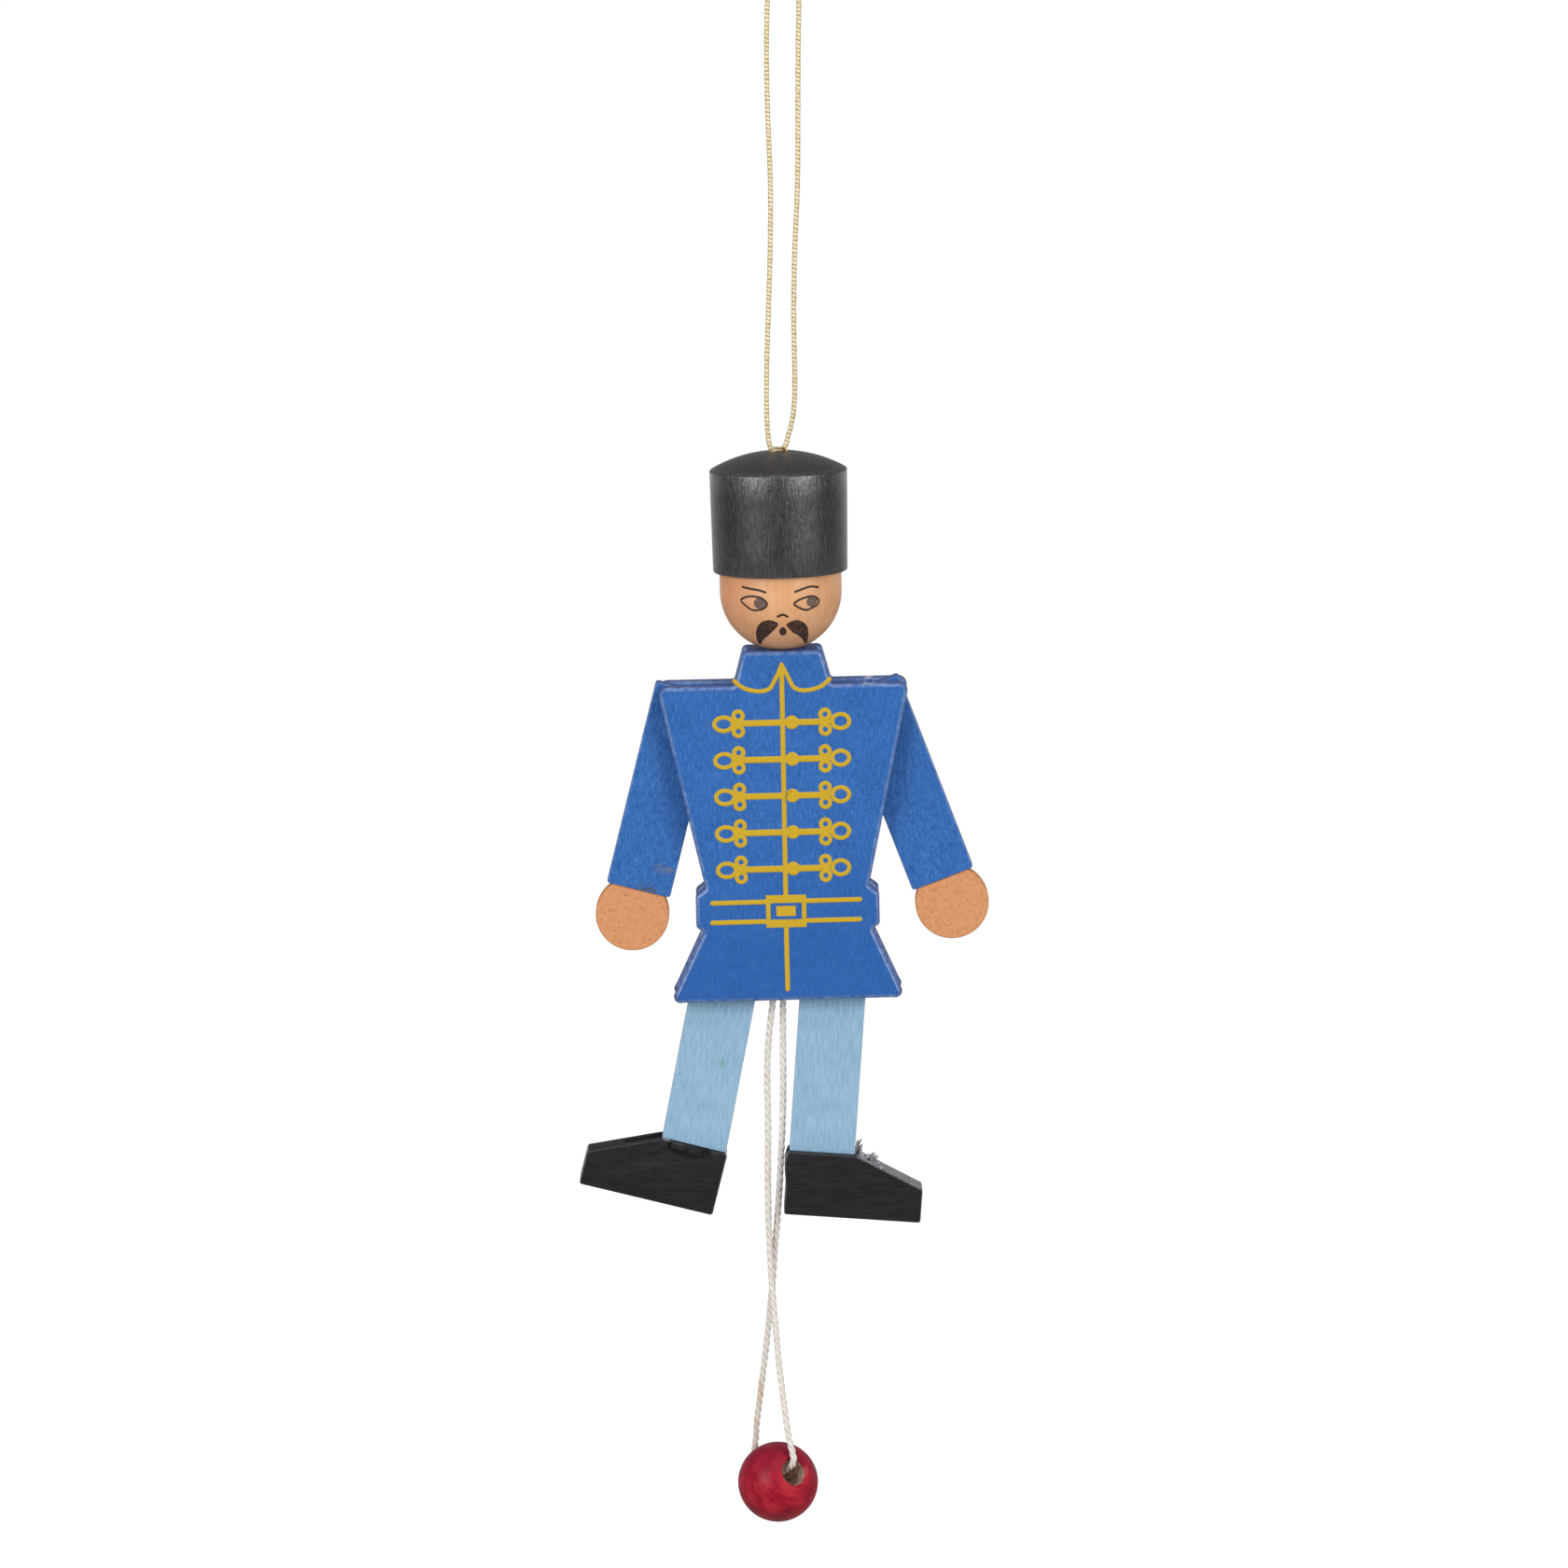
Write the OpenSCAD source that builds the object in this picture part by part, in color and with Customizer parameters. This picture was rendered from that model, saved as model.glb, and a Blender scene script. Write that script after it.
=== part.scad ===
// Pull string jumping jack: a flat wooden soldier that hangs from a cord loop.
// Two blue panels hold four limbs between them, each on its own nail.
// Cross threads join the limbs to a pull string with a red bead at its end.
// Left and right are the viewer's, looking at the painted face.
// The loop's inside top is at the origin, X runs to the right and the front faces -Y.

/* [Body panels] */
// Height from the hem to the shoulders
body_h = 40.9; // [36:0.1:46]
// Height of the collar above the shoulders
collar_h = 4.4; // [3:0.1:6]
// Width across the shoulders
shoulder_w = 32.5; // [29:0.1:36]
// Width of the collar at its top
collar_w = 10.1; // [8:0.1:11]
// Width of the collar where it meets the shoulders
collar_base_w = 12.5; // [11.5:0.1:14]
// Width of the waist above the belt
waist_w = 21.1; // [19:0.1:22]
// Width over the two belt tabs
belt_w = 23.7; // [22.6:0.1:25]
// Width of the skirt right under the belt
skirt_w = 21.8; // [19:0.1:22]
// Width of the hem
hem_w = 30.2; // [26:0.1:33]
// Height of the waist above the hem
waist_z = 14.6; // [14.2:0.1:16]
// Height of the belt tabs' upper corners above the hem
belt_top_z = 13.6; // [12.8:0.1:14]
// Height of the belt tabs' lower corners above the hem
belt_low_z = 9.5; // [9.2:0.1:11]
// Height of the skirt's top above the hem
skirt_z = 8.9; // [7:0.1:9]
// Rounding of the shoulder corners
shoulder_r = 1.1; // [0.3:0.1:1.5]
// Rounding of the collar and hem corners
corner_r = 0.7; // [0.2:0.1:0.9]
// Thickness of each panel
panel_t = 2.2; // [1.8:0.1:3]

/* [Arms] */
// Width of a sleeve
arm_w = 8.4; // [7.4:0.1:9]
// Length of a sleeve from its top end to its cuff
arm_l = 27; // [24:0.1:30]
// How far an arm's nail is in from the edge of the shoulder
arm_nail_in = 3.4; // [2.6:0.1:4.4]
// How far both arms sit to the left of their places
arms_left = 0.5; // [0:0.1:1]
// How far an arm's nail is below the shoulders
arm_nail_down = 4.7; // [4.2:0.1:6]
// How far an arm's nail is from the arm's top end
arm_top = 4.2; // [3.6:0.1:4.6]
// Angle of the left arm out from straight down
left_arm_out = 15; // [5:1:30]
// Angle of the right arm out from straight down
right_arm_out = 20; // [5:1:30]
// Diameter of a hand disc
hand_d = 9.5; // [8.6:0.1:10.4]
// Distance from the cuff to the middle of the hand disc
hand_out = 3.25; // [2.5:0.05:4]

/* [Legs] */
// Width of a trouser leg
leg_w = 8.5; // [7.6:0.1:8.6]
// Length from a leg's nail to the top of the shoe
leg_l = 31.2; // [28:0.1:34]
// Distance between the two leg nails
leg_spacing = 13; // [12.8:0.1:14]
// Height of the leg nails above the hem
leg_nail_z = 10.2; // [9.4:0.1:11]
// Angle of the left leg out from straight down
left_leg_out = 12; // [0:1:20]
// Angle of the right leg out from straight down, inwards where it is negative
right_leg_out = -5; // [-6:1:10]

/* [Shoes] */
// Length of the sole
sole_l = 17.8; // [15:0.1:19]
// Height of the shoe at the heel
heel_h = 8.3; // [7:0.1:9]
// Height of the toe cap
toe_h = 4.4; // [3:0.1:5]
// How far the shoe's flat top is longer than the leg is wide
shoe_spare = 0.4; // [0.2:0.1:1]
// Thickness of the shoe block
shoe_t = 5; // [4.4:0.1:6]
// Depth of the sawn groove that holds the leg
groove_depth = 0.8; // [0.5:0.1:1.5]
// How far the left shoe is turned on its leg, toe up
left_shoe_turn = 3; // [0:0.5:3]
// How much deeper the left leg is let into its shoe
left_shoe_up = 0.8; // [0:0.1:1.2]

/* [Head and hat] */
// Diameter of the head
head_d = 15.7; // [14:0.1:17]
// Depth of the flat that seats the head on the collar
head_flat = 0.35; // [0.2:0.05:0.6]
// Height of the head's straight side between its ball and the hat
brow_h = 2.5; // [1.5:0.1:4]
// How far the hat stands out over the head
hat_lip = 0.8; // [0.5:0.05:1.2]
// How far the hat widens from its lower rim to its upper rim
hat_flare = 0.2; // [0:0.05:0.6]
// Height of the hat's side
hat_h = 13.1; // [11:0.1:15]
// Height of the hat's domed top
hat_dome_h = 2.4; // [1.6:0.1:3.2]
// Depth of the socket that takes the head
hat_socket = 3; // [2:0.1:5]

/* [Pins and clearances] */
// Thickness of the arms and legs
limb_t = 2.4; // [2:0.1:3]
// Play between a limb and each panel
limb_play = 0.5; // [0.5:0.05:0.8]
// Diameter of a limb's nail
nail_d = 1.2; // [1:0.1:1.4]
// Diameter of a nail's head
nail_head_d = 2.4; // [2:0.1:3]
// Thickness of a nail's head
nail_head_t = 0.4; // [0.3:0.1:0.6]
// Wood left in front of a nail's point
nail_cover = 0.7; // [0.5:0.1:1]
// Radial play of a limb on its nail
nail_play = 0.05; // [0.02:0.01:0.09]
// Radial gap where two pieces are glued or driven together
seat_gap = 0.02; // [0.01:0.01:0.04]
// Diameter of the neck dowel
dowel_d = 2; // [1.6:0.1:2.2]
// Depth of the dowel's hole in the head
dowel_in_head = 6; // [4:0.5:8]
// Height of the spacer between the panels at the neck
spacer_h = 6.8; // [5:0.1:8]
// Wood left in the spacer under the dowel
spacer_floor = 0.8; // [0.5:0.1:1.5]

/* [Threads and bead] */
// Diameter of the cross threads
thread_d = 0.4; // [0.3:0.05:0.4]
// Diameter of the thread holes in the limbs
thread_hole_d = 0.8; // [0.6:0.1:0.9]
// Distance of an arm's thread hole from its nail
arm_hole_r = 3.4; // [3:0.1:3.6]
// Distance of a leg's thread hole from its nail
leg_hole_r = 3.1; // [2.8:0.1:3.2]
// Diameter of the knots on the pull string
knot_d = 1.5; // [1.2:0.1:1.6]
// Diameter of the pull string
string_d = 0.9; // [0.6:0.1:0.9]
// Diameter of the bead
bead_d = 10.2; // [9.8:0.1:10.3]
// Diameter of the hole through the bead
bead_hole_d = 3; // [2.8:0.1:3.4]
// Depth of the softened mouths of the bead's hole
bead_mouth = 0.5; // [0.3:0.1:0.8]

/* [Hanging loop] */
// Height of the loop's inside top above the hat
loop_rise = 64; // [64:1:80]
// How far the loop's top is to the right of the figure's middle
loop_lean = 2; // [1.5:0.1:2.5]
// Diameter of the gold cord
cord_d = 0.62; // [0.5:0.02:0.64]
// Diameter of the knot that closes the loop
loop_knot_d = 2.2; // [1.8:0.1:2.6]
// Length of the cord's two tails above the knot
tail_l = 5; // [2:0.5:10]
// Diameter of the wire of the hat's staple
staple_wire = 0.35; // [0.25:0.05:0.4]
// Distance between the middles of the staple's legs
staple_w = 2.1; // [2:0.05:2.3]
// Depth of the staple's legs in the hat
staple_in = 3; // [2:0.5:4]

/* [Hidden] */

$fn = 64;

// Sides of the figure
left = -1;
right = 1;
// How far a cutting tool runs past what it cuts
overrun = 1;

// Layers, from the front to the back
gap_t = limb_t + 2 * limb_play;
depth = gap_t + 2 * panel_t;
panel_y = (gap_t + panel_t) / 2;

// Heights above the hem
collar_z = body_h + collar_h;
ball_z = collar_z + head_d / 2 - head_flat;
hat_z = ball_z + brow_h;
hat_rim_z = hat_z + hat_h;
hat_top_z = hat_rim_z + hat_dome_h;

// Radii of the hat's rims, and of the sphere that its dome is cut from
hat_low_r = head_d / 2 + hat_lip;
hat_top_r = hat_low_r + hat_flare;
dome_r = (pow(hat_top_r, 2) + pow(hat_dome_h, 2)) / (2 * hat_dome_h);

// Nails: from the figure's middle, and above the hem
arm_nail_z = body_h - arm_nail_down;
nail_point_y = panel_t - nail_cover + gap_t / 2;
function arm_nail_x(side) = side * (shoulder_w / 2 - arm_nail_in) - arms_left;
function leg_nail_x(side) = side * leg_spacing / 2;

// Neck
spacer_w = collar_w - 2 * corner_r;
dowel_in_spacer = spacer_h - spacer_floor;

// Corner rounding of the sleeves, legs and shoes
limb_r = 0.4;
shoe_r = 0.35;
shoe_flat = leg_w + shoe_spare;

// Angles of the thread holes inwards from straight up the limb
arm_hole_turn = 35;
leg_hole_turn = 50;
// Layers of the threads behind the limbs and of their stops in front, which touch nothing
thread_y = limb_t / 2 + limb_play / 2;
stop_gap = 0.05;
stop_t = limb_play - 2 * stop_gap;
stop_d = thread_hole_d + limb_play;
// How far a thread runs flat on a limb before it turns in to the knot
thread_run = 2.2;

// Middles of the two string knots, from the figure's middle and above the hem
arm_knot_below = 1.2;
leg_knot_below = 0.4;
arm_knot = [-0.9, 0, arm_nail_z - arm_knot_below];
leg_knot = [-0.6, 0.3, leg_nail_z - leg_knot_below];

// The bead's middle in the hanging frame, and how its hole points from straight ahead
bead_place = [-4.9, 0, -199.85];
bead_yaw = 31;
bead_pitch = 27;

// How deep the gold cord lies in the hat, with its play there, and how that stretch is turned
cord_bed = 0.23;
cord_bed_play = 0.04;
cord_bed_turn = 36;
cord_bed_l = 2.6;

// How far each tail of the cord leans away from straight up
tail_spread = 14;

// The gold cord's route, from the knot down the left strand and up the right one
CORD_ROUTE = [
    [-0.3, 0, 0.6], [-0.9, 0, -1], [-1.7, 0, -3.2], [-2, 0, -5.8], [-2.3, 0, -12],
    [-2.35, 0, -20], [-2.2, 0, -30], [-2.4, 0, -38], [-2.8, -0.1, -46], [-3.2, -0.3, -54],
    [-3.3, -0.6, -59.5], [-3.18, -0.74, -62], [-3.02, -0.74, -62.96], [-2.81, -0.59, -63.46],
    [-2.445, -0.32, -63.8], [-2, 0, -63.92], [-1.555, 0.32, -63.8], [-1.19, 0.59, -63.46],
    [-0.98, 0.74, -62.96], [-0.75, 0.74, -62.1], [-0.3, 0.66, -60.4], [0.15, 0.5, -58],
    [0.38, 0.25, -54], [0.4, 0, -47], [0.7, 0, -39], [1.25, 0, -30], [1.5, 0, -21],
    [1.7, 0, -13], [1.9, 0, -5.8], [1.6, 0, -3.2], [0.9, 0, -1], [0.3, 0, 0.6]
];

// The pull string's route between its two knots, down through the bead and back up
STRING_ROUTE = [
    [-3.2, -0.4, -110], [-3.65, -0.5, -120], [-3.75, -0.5, -127],
    [-4.15, -0.4, -135.4], [-4.7, -0.35, -139.5], [-5.1, -0.3, -144.5], [-5.15, -0.3, -152],
    [-5.35, -0.35, -160], [-5.35, -0.45, -166], [-5.1, -0.5, -173.8], [-4.75, -1.2, -179.03],
    [-4.4, -1.85, -183.83], [-3.9, -2.5, -188.85], [-3.4, -3, -192.95], [-2.89, -3.34, -195.28],
    [-2.8, -3.5, -195.97], [-2.91, -3.31, -196.65], [-3.24, -2.76, -197.14],
    [-5.12, 0.37, -199], [-7, 3.5, -200.86], [-7.45, 4.24, -201.05], [-7.88, 4.96, -200.78],
    [-8.18, 5.46, -200.12], [-8.27, 5.7, -199.3], [-8.15, 5.75, -198.2], [-7.95, 5.55, -196.9],
    [-7.75, 5.2, -195.65], [-7.5, 4.5, -192.75], [-7.1, 3.8, -189.85], [-6.6, 3, -186.23],
    [-6, 2.05, -181.65], [-5.1, 0.5, -173.8], [-4.6, 0.4, -168.5],
    [-4.1, 0.4, -163.5], [-3.6, 0.4, -157], [-3.15, 0.4, -149], [-3, 0.4, -142],
    [-2.85, 0.4, -135.4], [-2.65, 0.35, -129.5]
];

// Unit vector of v
function unit(v) = v / norm(v);

// The corner between the directions a and b from the point p, cut back for the radius r
function corner_cut(p, a, b, r) =
    r == 0 ? [p] : let (cut = r / tan(acos(a * b) / 2)) [p + a * cut, p + b * cut];

// Direction from corner i of an outline to its neighbour, step corners on
function edge_way(points, i, step) =
    let (n = len(points)) unit(points[(i + step + n) % n] - points[i]);

// An outline whose outward corners are rounded, each by its own radius, or sharp at zero
module rounded_outline(points, radii) {
    polygon([
        for (i = [0 : len(points) - 1])
            each corner_cut(points[i], edge_way(points, i, -1), edge_way(points, i, 1), radii[i])
    ]);
    for (i = [0 : len(points) - 1]) if (radii[i] > 0) {
        a = edge_way(points, i, -1);
        b = edge_way(points, i, 1);
        translate(points[i] + unit(a + b) * radii[i] / sin(acos(a * b) / 2)) circle(r = radii[i]);
    }
}

// A plate of the given thickness, upright in the XZ plane and centred on Y
module upright(t) {
    rotate([90, 0, 0]) linear_extrude(t, center = true) children();
}

// A round bar along Y between two depths
module cross_bar(r, y_from, y_to) {
    translate([0, y_to, 0]) rotate([90, 0, 0]) cylinder(r = r, h = y_to - y_from);
}

// Tangent of a route at its point i
function way(route, i) =
    unit(route[min(i + 1, len(route) - 1)] - route[max(i - 1, 0)]);

// Side directions along a route, each turned as little as possible from the one before
function sides(route, before, i = 0, done = []) =
    i == len(route) ? done :
    let (t = way(route, i), s = unit(before - (before * t) * t))
    sides(route, s, i + 1, concat(done, [s]));

// One ring of a cord about its route's point i
function ring(route, i, side, r, n) =
    let (t = way(route, i), up = cross(t, side))
    [for (k = [0 : n - 1]) route[i] + r * (cos(360 * k / n) * side + sin(360 * k / n) * up)];

// Where an end of the pull string stops, just under the middle of its knot, in the hanging frame
function string_end(knot) = knot - [loop_lean, 0, hat_top_z + loop_rise + knot_d / 2 - string_d / 2];

// A cord of diameter d along a route, with n flat sides, the first one square to start
module cord(route, d, start, n = 8) {
    across = sides(route, start);
    last = (len(route) - 1) * n;
    polyhedron(
        points = [for (i = [0 : len(route) - 1]) each ring(route, i, across[i], d / 2, n)],
        faces = concat(
            [[for (k = [0 : n - 1]) k]],
            [[for (k = [0 : n - 1]) last + n - 1 - k]],
            [for (i = [0 : len(route) - 2], k = [0 : n - 1]) each [
                [i * n + k, (i + 1) * n + k, i * n + (k + 1) % n],
                [i * n + (k + 1) % n, (i + 1) * n + k, (i + 1) * n + (k + 1) % n]
            ]]
        )
    );
}

// Moves the figure, drawn from the middle of its hem, to hang under the loop
module on_figure() {
    translate([-loop_lean, 0, -hat_top_z - loop_rise]) children();
}

// Turns a limb, drawn straight down from its nail, to its rest angle
module on_nail(side, x, z, out) {
    on_figure() translate([x, 0, z]) rotate([0, -side * out, 0]) children();
}

module on_arm(side) {
    on_nail(side, arm_nail_x(side), arm_nail_z, side == left ? left_arm_out : right_arm_out)
        children();
}

module on_leg(side) {
    on_nail(side, leg_nail_x(side), leg_nail_z, side == left ? left_leg_out : right_leg_out)
        children();
}

// Both sides' places of the nails
module at_nails() {
    for (side = [left, right]) {
        translate([arm_nail_x(side), 0, arm_nail_z]) children();
        translate([leg_nail_x(side), 0, leg_nail_z]) children();
    }
}

// The soldier's trunk: collar, shoulders, waist, belt tabs and skirt
module trunk_outline() {
    half = [
        [hem_w / 2, 0], [skirt_w / 2, skirt_z], [belt_w / 2, belt_low_z], [belt_w / 2, belt_top_z],
        [waist_w / 2, waist_z], [shoulder_w / 2, body_h], [collar_base_w / 2, body_h],
        [collar_w / 2, collar_z]
    ];
    half_radii = [corner_r, 0, 0, 0, 0, shoulder_r, 0, corner_r];
    last = len(half) - 1;
    rounded_outline(
        concat(half, [for (i = [last : -1 : 0]) [-half[i].x, half[i].y]]),
        concat(half_radii, [for (i = [last : -1 : 0]) half_radii[i]])
    );
}

module front_panel() {
    color("steelblue") on_figure() difference() {
        translate([0, -panel_y, 0]) upright(panel_t) trunk_outline();
        at_nails() cross_bar(nail_d / 2 + seat_gap, -nail_point_y, 0);
    }
}

module back_panel() {
    color("steelblue") on_figure() difference() {
        translate([0, panel_y, 0]) upright(panel_t) trunk_outline();
        at_nails() cross_bar(nail_d / 2 + seat_gap, 0, depth);
    }
}

module neck_spacer() {
    color("steelblue") on_figure() difference() {
        translate([-spacer_w / 2, -gap_t / 2, collar_z - spacer_h]) cube([spacer_w, gap_t, spacer_h]);
        translate([0, 0, collar_z - dowel_in_spacer])
            cylinder(d = dowel_d + 2 * seat_gap, h = dowel_in_spacer + overrun);
    }
}

module neck_dowel() {
    color("tan") on_figure() translate([0, 0, collar_z - dowel_in_spacer])
        cylinder(d = dowel_d, h = dowel_in_spacer + dowel_in_head);
}

// The head: a ball cut flat for the collar, and a straight tenon that fills the hat's socket
module head() {
    tenon_z = hat_z + hat_socket - seat_gap;
    color("burlywood") on_figure() difference() {
        union() {
            translate([0, 0, ball_z]) sphere(d = head_d);
            translate([0, 0, ball_z]) cylinder(d = head_d, h = tenon_z - ball_z);
        }
        translate([-head_d, -head_d, collar_z - head_d]) cube([2 * head_d, 2 * head_d, head_d]);
        translate([-head_d, -head_d, tenon_z]) cube([2 * head_d, 2 * head_d, head_d]);
        translate([0, 0, collar_z - overrun])
            cylinder(d = dowel_d + 2 * seat_gap, h = dowel_in_head + overrun);
    }
}

// Half of the hat's section: a side that widens upwards and a domed top
module hat_section() {
    intersection() {
        translate([0, hat_rim_z + hat_dome_h - dome_r]) circle(r = dome_r, $fn = 200);
        polygon([
            [0, hat_z], [hat_low_r, hat_z], [hat_top_r, hat_rim_z],
            [hat_top_r, hat_top_z + overrun], [0, hat_top_z + overrun]
        ]);
    }
}

module hat() {
    color("dimgray") on_figure() difference() {
        rotate_extrude() hat_section();
        translate([0, 0, hat_z - overrun])
            cylinder(d = head_d + 2 * seat_gap, h = hat_socket + overrun);
        for (side = [left, right]) translate([side * staple_w / 2, 0, hat_top_z - staple_in])
            cylinder(d = staple_wire + 2 * seat_gap, h = staple_in + overrun);
        translate([0, 0, hat_top_z + cord_d / 2 - cord_bed]) rotate([0, 90, cord_bed_turn])
            cylinder(d = cord_d + 2 * cord_bed_play, h = cord_bed_l, center = true);
    }
}

module hat_staple() {
    bridge_z = hat_top_z + cord_d - cord_bed + staple_wire / 2 + cord_bed_play;
    color("darkgoldenrod") on_figure() {
        for (side = [left, right]) translate([side * staple_w / 2, 0, 0]) {
            translate([0, 0, hat_top_z - staple_in])
                cylinder(d = staple_wire, h = bridge_z - hat_top_z + staple_in);
            translate([0, 0, bridge_z]) sphere(d = staple_wire);
        }
        translate([0, 0, bridge_z]) rotate([0, 90, 0])
            cylinder(d = staple_wire, h = staple_w, center = true);
    }
}

module hanging_cord() {
    color("gold") cord(CORD_ROUTE, cord_d, [0, 1, 0]);
}

// The overhand knot that closes the loop, with the cord's two tails above it
module hanging_knot() {
    color("goldenrod") translate([0, 0, loop_knot_d / 2]) {
        sphere(d = loop_knot_d);
        for (side = [left, right]) rotate([0, side * tail_spread, 0])
            cylinder(d = cord_d, h = loop_knot_d / 2 + tail_l);
    }
}

// A sleeve: a square-ended plate on its nail, with a hole for the cross thread
module arm(side) {
    color("royalblue") on_arm(side) difference() {
        upright(limb_t) rounded_outline(
            [
                [-arm_w / 2, arm_top - arm_l], [arm_w / 2, arm_top - arm_l],
                [arm_w / 2, arm_top], [-arm_w / 2, arm_top]
            ],
            [limb_r, limb_r, limb_r, limb_r]
        );
        cross_bar(nail_d / 2 + nail_play, -limb_t, limb_t);
        rotate([0, -side * arm_hole_turn, 0]) translate([0, 0, arm_hole_r])
            cross_bar(thread_hole_d / 2, -limb_t, limb_t);
    }
}

module left_arm() arm(left);
module right_arm() arm(right);

// A hand: a slice of dowel, cut flat where it is glued to the cuff
module hand(side) {
    cuff_z = arm_top - arm_l;
    color("burlywood") on_arm(side) difference() {
        translate([0, 0, cuff_z - hand_out]) cross_bar(hand_d / 2, -limb_t / 2, limb_t / 2);
        translate([-hand_d, -hand_d, cuff_z]) cube([2 * hand_d, 2 * hand_d, hand_d]);
    }
}

module left_hand() hand(left);
module right_hand() hand(right);

// A trouser leg: a plate with a round top about its nail, let into the shoe's groove
module leg(side) {
    color("lightskyblue") on_leg(side) difference() {
        union() {
            cross_bar(leg_w / 2, -limb_t / 2, limb_t / 2);
            translate([-leg_w / 2, -limb_t / 2, -leg_l - groove_depth])
                cube([leg_w, limb_t, leg_l + groove_depth]);
        }
        cross_bar(nail_d / 2 + nail_play, -limb_t, limb_t);
        rotate([0, -side * leg_hole_turn, 0]) translate([0, 0, leg_hole_r])
            cross_bar(thread_hole_d / 2, -limb_t, limb_t);
    }
}

module left_leg() leg(left);
module right_leg() leg(right);

// A shoe, drawn with its toe to the right and its flat top at zero height
module shoe_outline() {
    rounded_outline(
        [[0, -heel_h], [sole_l, -heel_h], [sole_l, toe_h - heel_h], [shoe_flat, 0], [0, 0]],
        [shoe_r, shoe_r, shoe_r, 0, shoe_r]
    );
}

// The groove takes the leg, so it keeps to the leg's direction when the shoe is turned
module shoe(side, turn, up) {
    color("dimgray") on_leg(side) translate([0, 0, up - leg_l]) difference() {
        rotate([0, -side * turn, 0]) mirror([side == left ? 1 : 0, 0, 0])
            translate([-leg_w / 2 - shoe_spare / 2, 0, 0]) upright(shoe_t) shoe_outline();
        translate([-sole_l, -limb_t / 2 - seat_gap, -groove_depth - up])
            cube([2 * sole_l, limb_t + 2 * seat_gap, 2 * heel_h]);
    }
}

module left_shoe() shoe(left, left_shoe_turn, left_shoe_up);
module right_shoe() shoe(right, 0, 0);

// A nail: its head on the back panel, its point in the front panel
module nail(x, z) {
    color("silver") on_figure() translate([x, 0, z]) {
        cross_bar(nail_d / 2, seat_gap - nail_point_y, depth / 2 + nail_head_t);
        cross_bar(nail_head_d / 2, depth / 2, depth / 2 + nail_head_t);
    }
}

module left_arm_nail() nail(arm_nail_x(left), arm_nail_z);
module right_arm_nail() nail(arm_nail_x(right), arm_nail_z);
module left_leg_nail() nail(leg_nail_x(left), leg_nail_z);
module right_leg_nail() nail(leg_nail_x(right), leg_nail_z);

// Place of a thread hole: the nail's place, and the hole's angle inwards from straight up
function hole_place(side, x, z, r, turn) = [x - side * r * sin(turn), 0, z + r * cos(turn)];

function arm_hole(side) = hole_place(side, arm_nail_x(side), arm_nail_z, arm_hole_r,
    arm_hole_turn + (side == left ? left_arm_out : right_arm_out));

function leg_hole(side) = hole_place(side, leg_nail_x(side), leg_nail_z, leg_hole_r,
    leg_hole_turn + (side == left ? left_leg_out : right_leg_out));

// A thread's route: from the front of one limb through its hole, behind both limbs by way of
// the knot, and through the other limb's hole to the front
function thread_route(from, knot, to) = [
    from - [0, thread_y, 0],
    from + [0, thread_y - thread_d / 2, 0],
    from + [thread_d, thread_y, 0],
    from + [thread_run, thread_y, 0],
    knot,
    to + [-thread_run, thread_y, 0],
    to + [-thread_d, thread_y, 0],
    to + [0, thread_y - thread_d / 2, 0],
    to - [0, thread_y, 0]
];

module arm_thread() {
    color("ivory") on_figure()
        cord(thread_route(arm_hole(left), arm_knot, arm_hole(right)), thread_d, [0, 0, 1]);
}

module leg_thread() {
    color("ivory") on_figure()
        cord(thread_route(leg_hole(left), leg_knot, leg_hole(right)), thread_d, [0, 0, 1]);
}

// Flattened stopper knots in front of the limbs, one on each end of the two threads
module thread_stops() {
    color("ivory") on_figure()
        for (place = [arm_hole(left), arm_hole(right), leg_hole(left), leg_hole(right)])
            translate(place) cross_bar(stop_d / 2, -thread_y - stop_t / 2, stop_t / 2 - thread_y);
}

// Knots that tie the pull string's two ends to the cross threads
module string_knots() {
    color("linen") on_figure() for (place = [arm_knot, leg_knot]) translate(place) sphere(d = knot_d);
}

module pull_string() {
    color("linen")
        cord([string_end(arm_knot), each STRING_ROUTE, string_end(leg_knot)], string_d, [0, 1, 0]);
}

// The bead, with softened mouths where the string comes out of its hole
module bead() {
    mouth_r = bead_hole_d / 2 + bead_mouth;
    mouth_z = sqrt(pow(bead_d / 2, 2) - pow(mouth_r, 2));
    color("crimson") translate(bead_place) rotate([0, 0, bead_yaw]) rotate([90 - bead_pitch, 0, 0])
        difference() {
            sphere(d = bead_d, $fn = 96);
            cylinder(d = bead_hole_d, h = 2 * bead_d, center = true);
            for (side = [left, right]) mirror([0, 0, side == left ? 1 : 0])
                translate([0, 0, mouth_z - bead_mouth])
                    cylinder(r1 = bead_hole_d / 2, r2 = mouth_r + bead_mouth, h = 2 * bead_mouth);
        }
}

front_panel();
back_panel();
neck_spacer();
neck_dowel();
head();
hat();
hat_staple();
hanging_cord();
hanging_knot();
left_arm();
right_arm();
left_hand();
right_hand();
left_leg();
right_leg();
left_shoe();
right_shoe();
left_arm_nail();
right_arm_nail();
left_leg_nail();
right_leg_nail();
arm_thread();
leg_thread();
thread_stops();
string_knots();
pull_string();
bead();
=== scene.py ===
"""Looks of the pull string jumping jack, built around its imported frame.

The figure is a flat wooden soldier. Two sawn panels hold four limbs, and every piece is made
here with softened edges, paint, wood grain and wear, in the place that the frame gives it.
Sizes are in millimetres, and a figure place is measured from the middle of the hem.
"""

from __future__ import annotations

import logging
import math
from dataclasses import dataclass, field
from enum import Enum
from functools import partial
from typing import Callable, Iterable, Sequence

import bmesh
import bpy
from mathutils import Euler, Matrix, Vector

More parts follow.
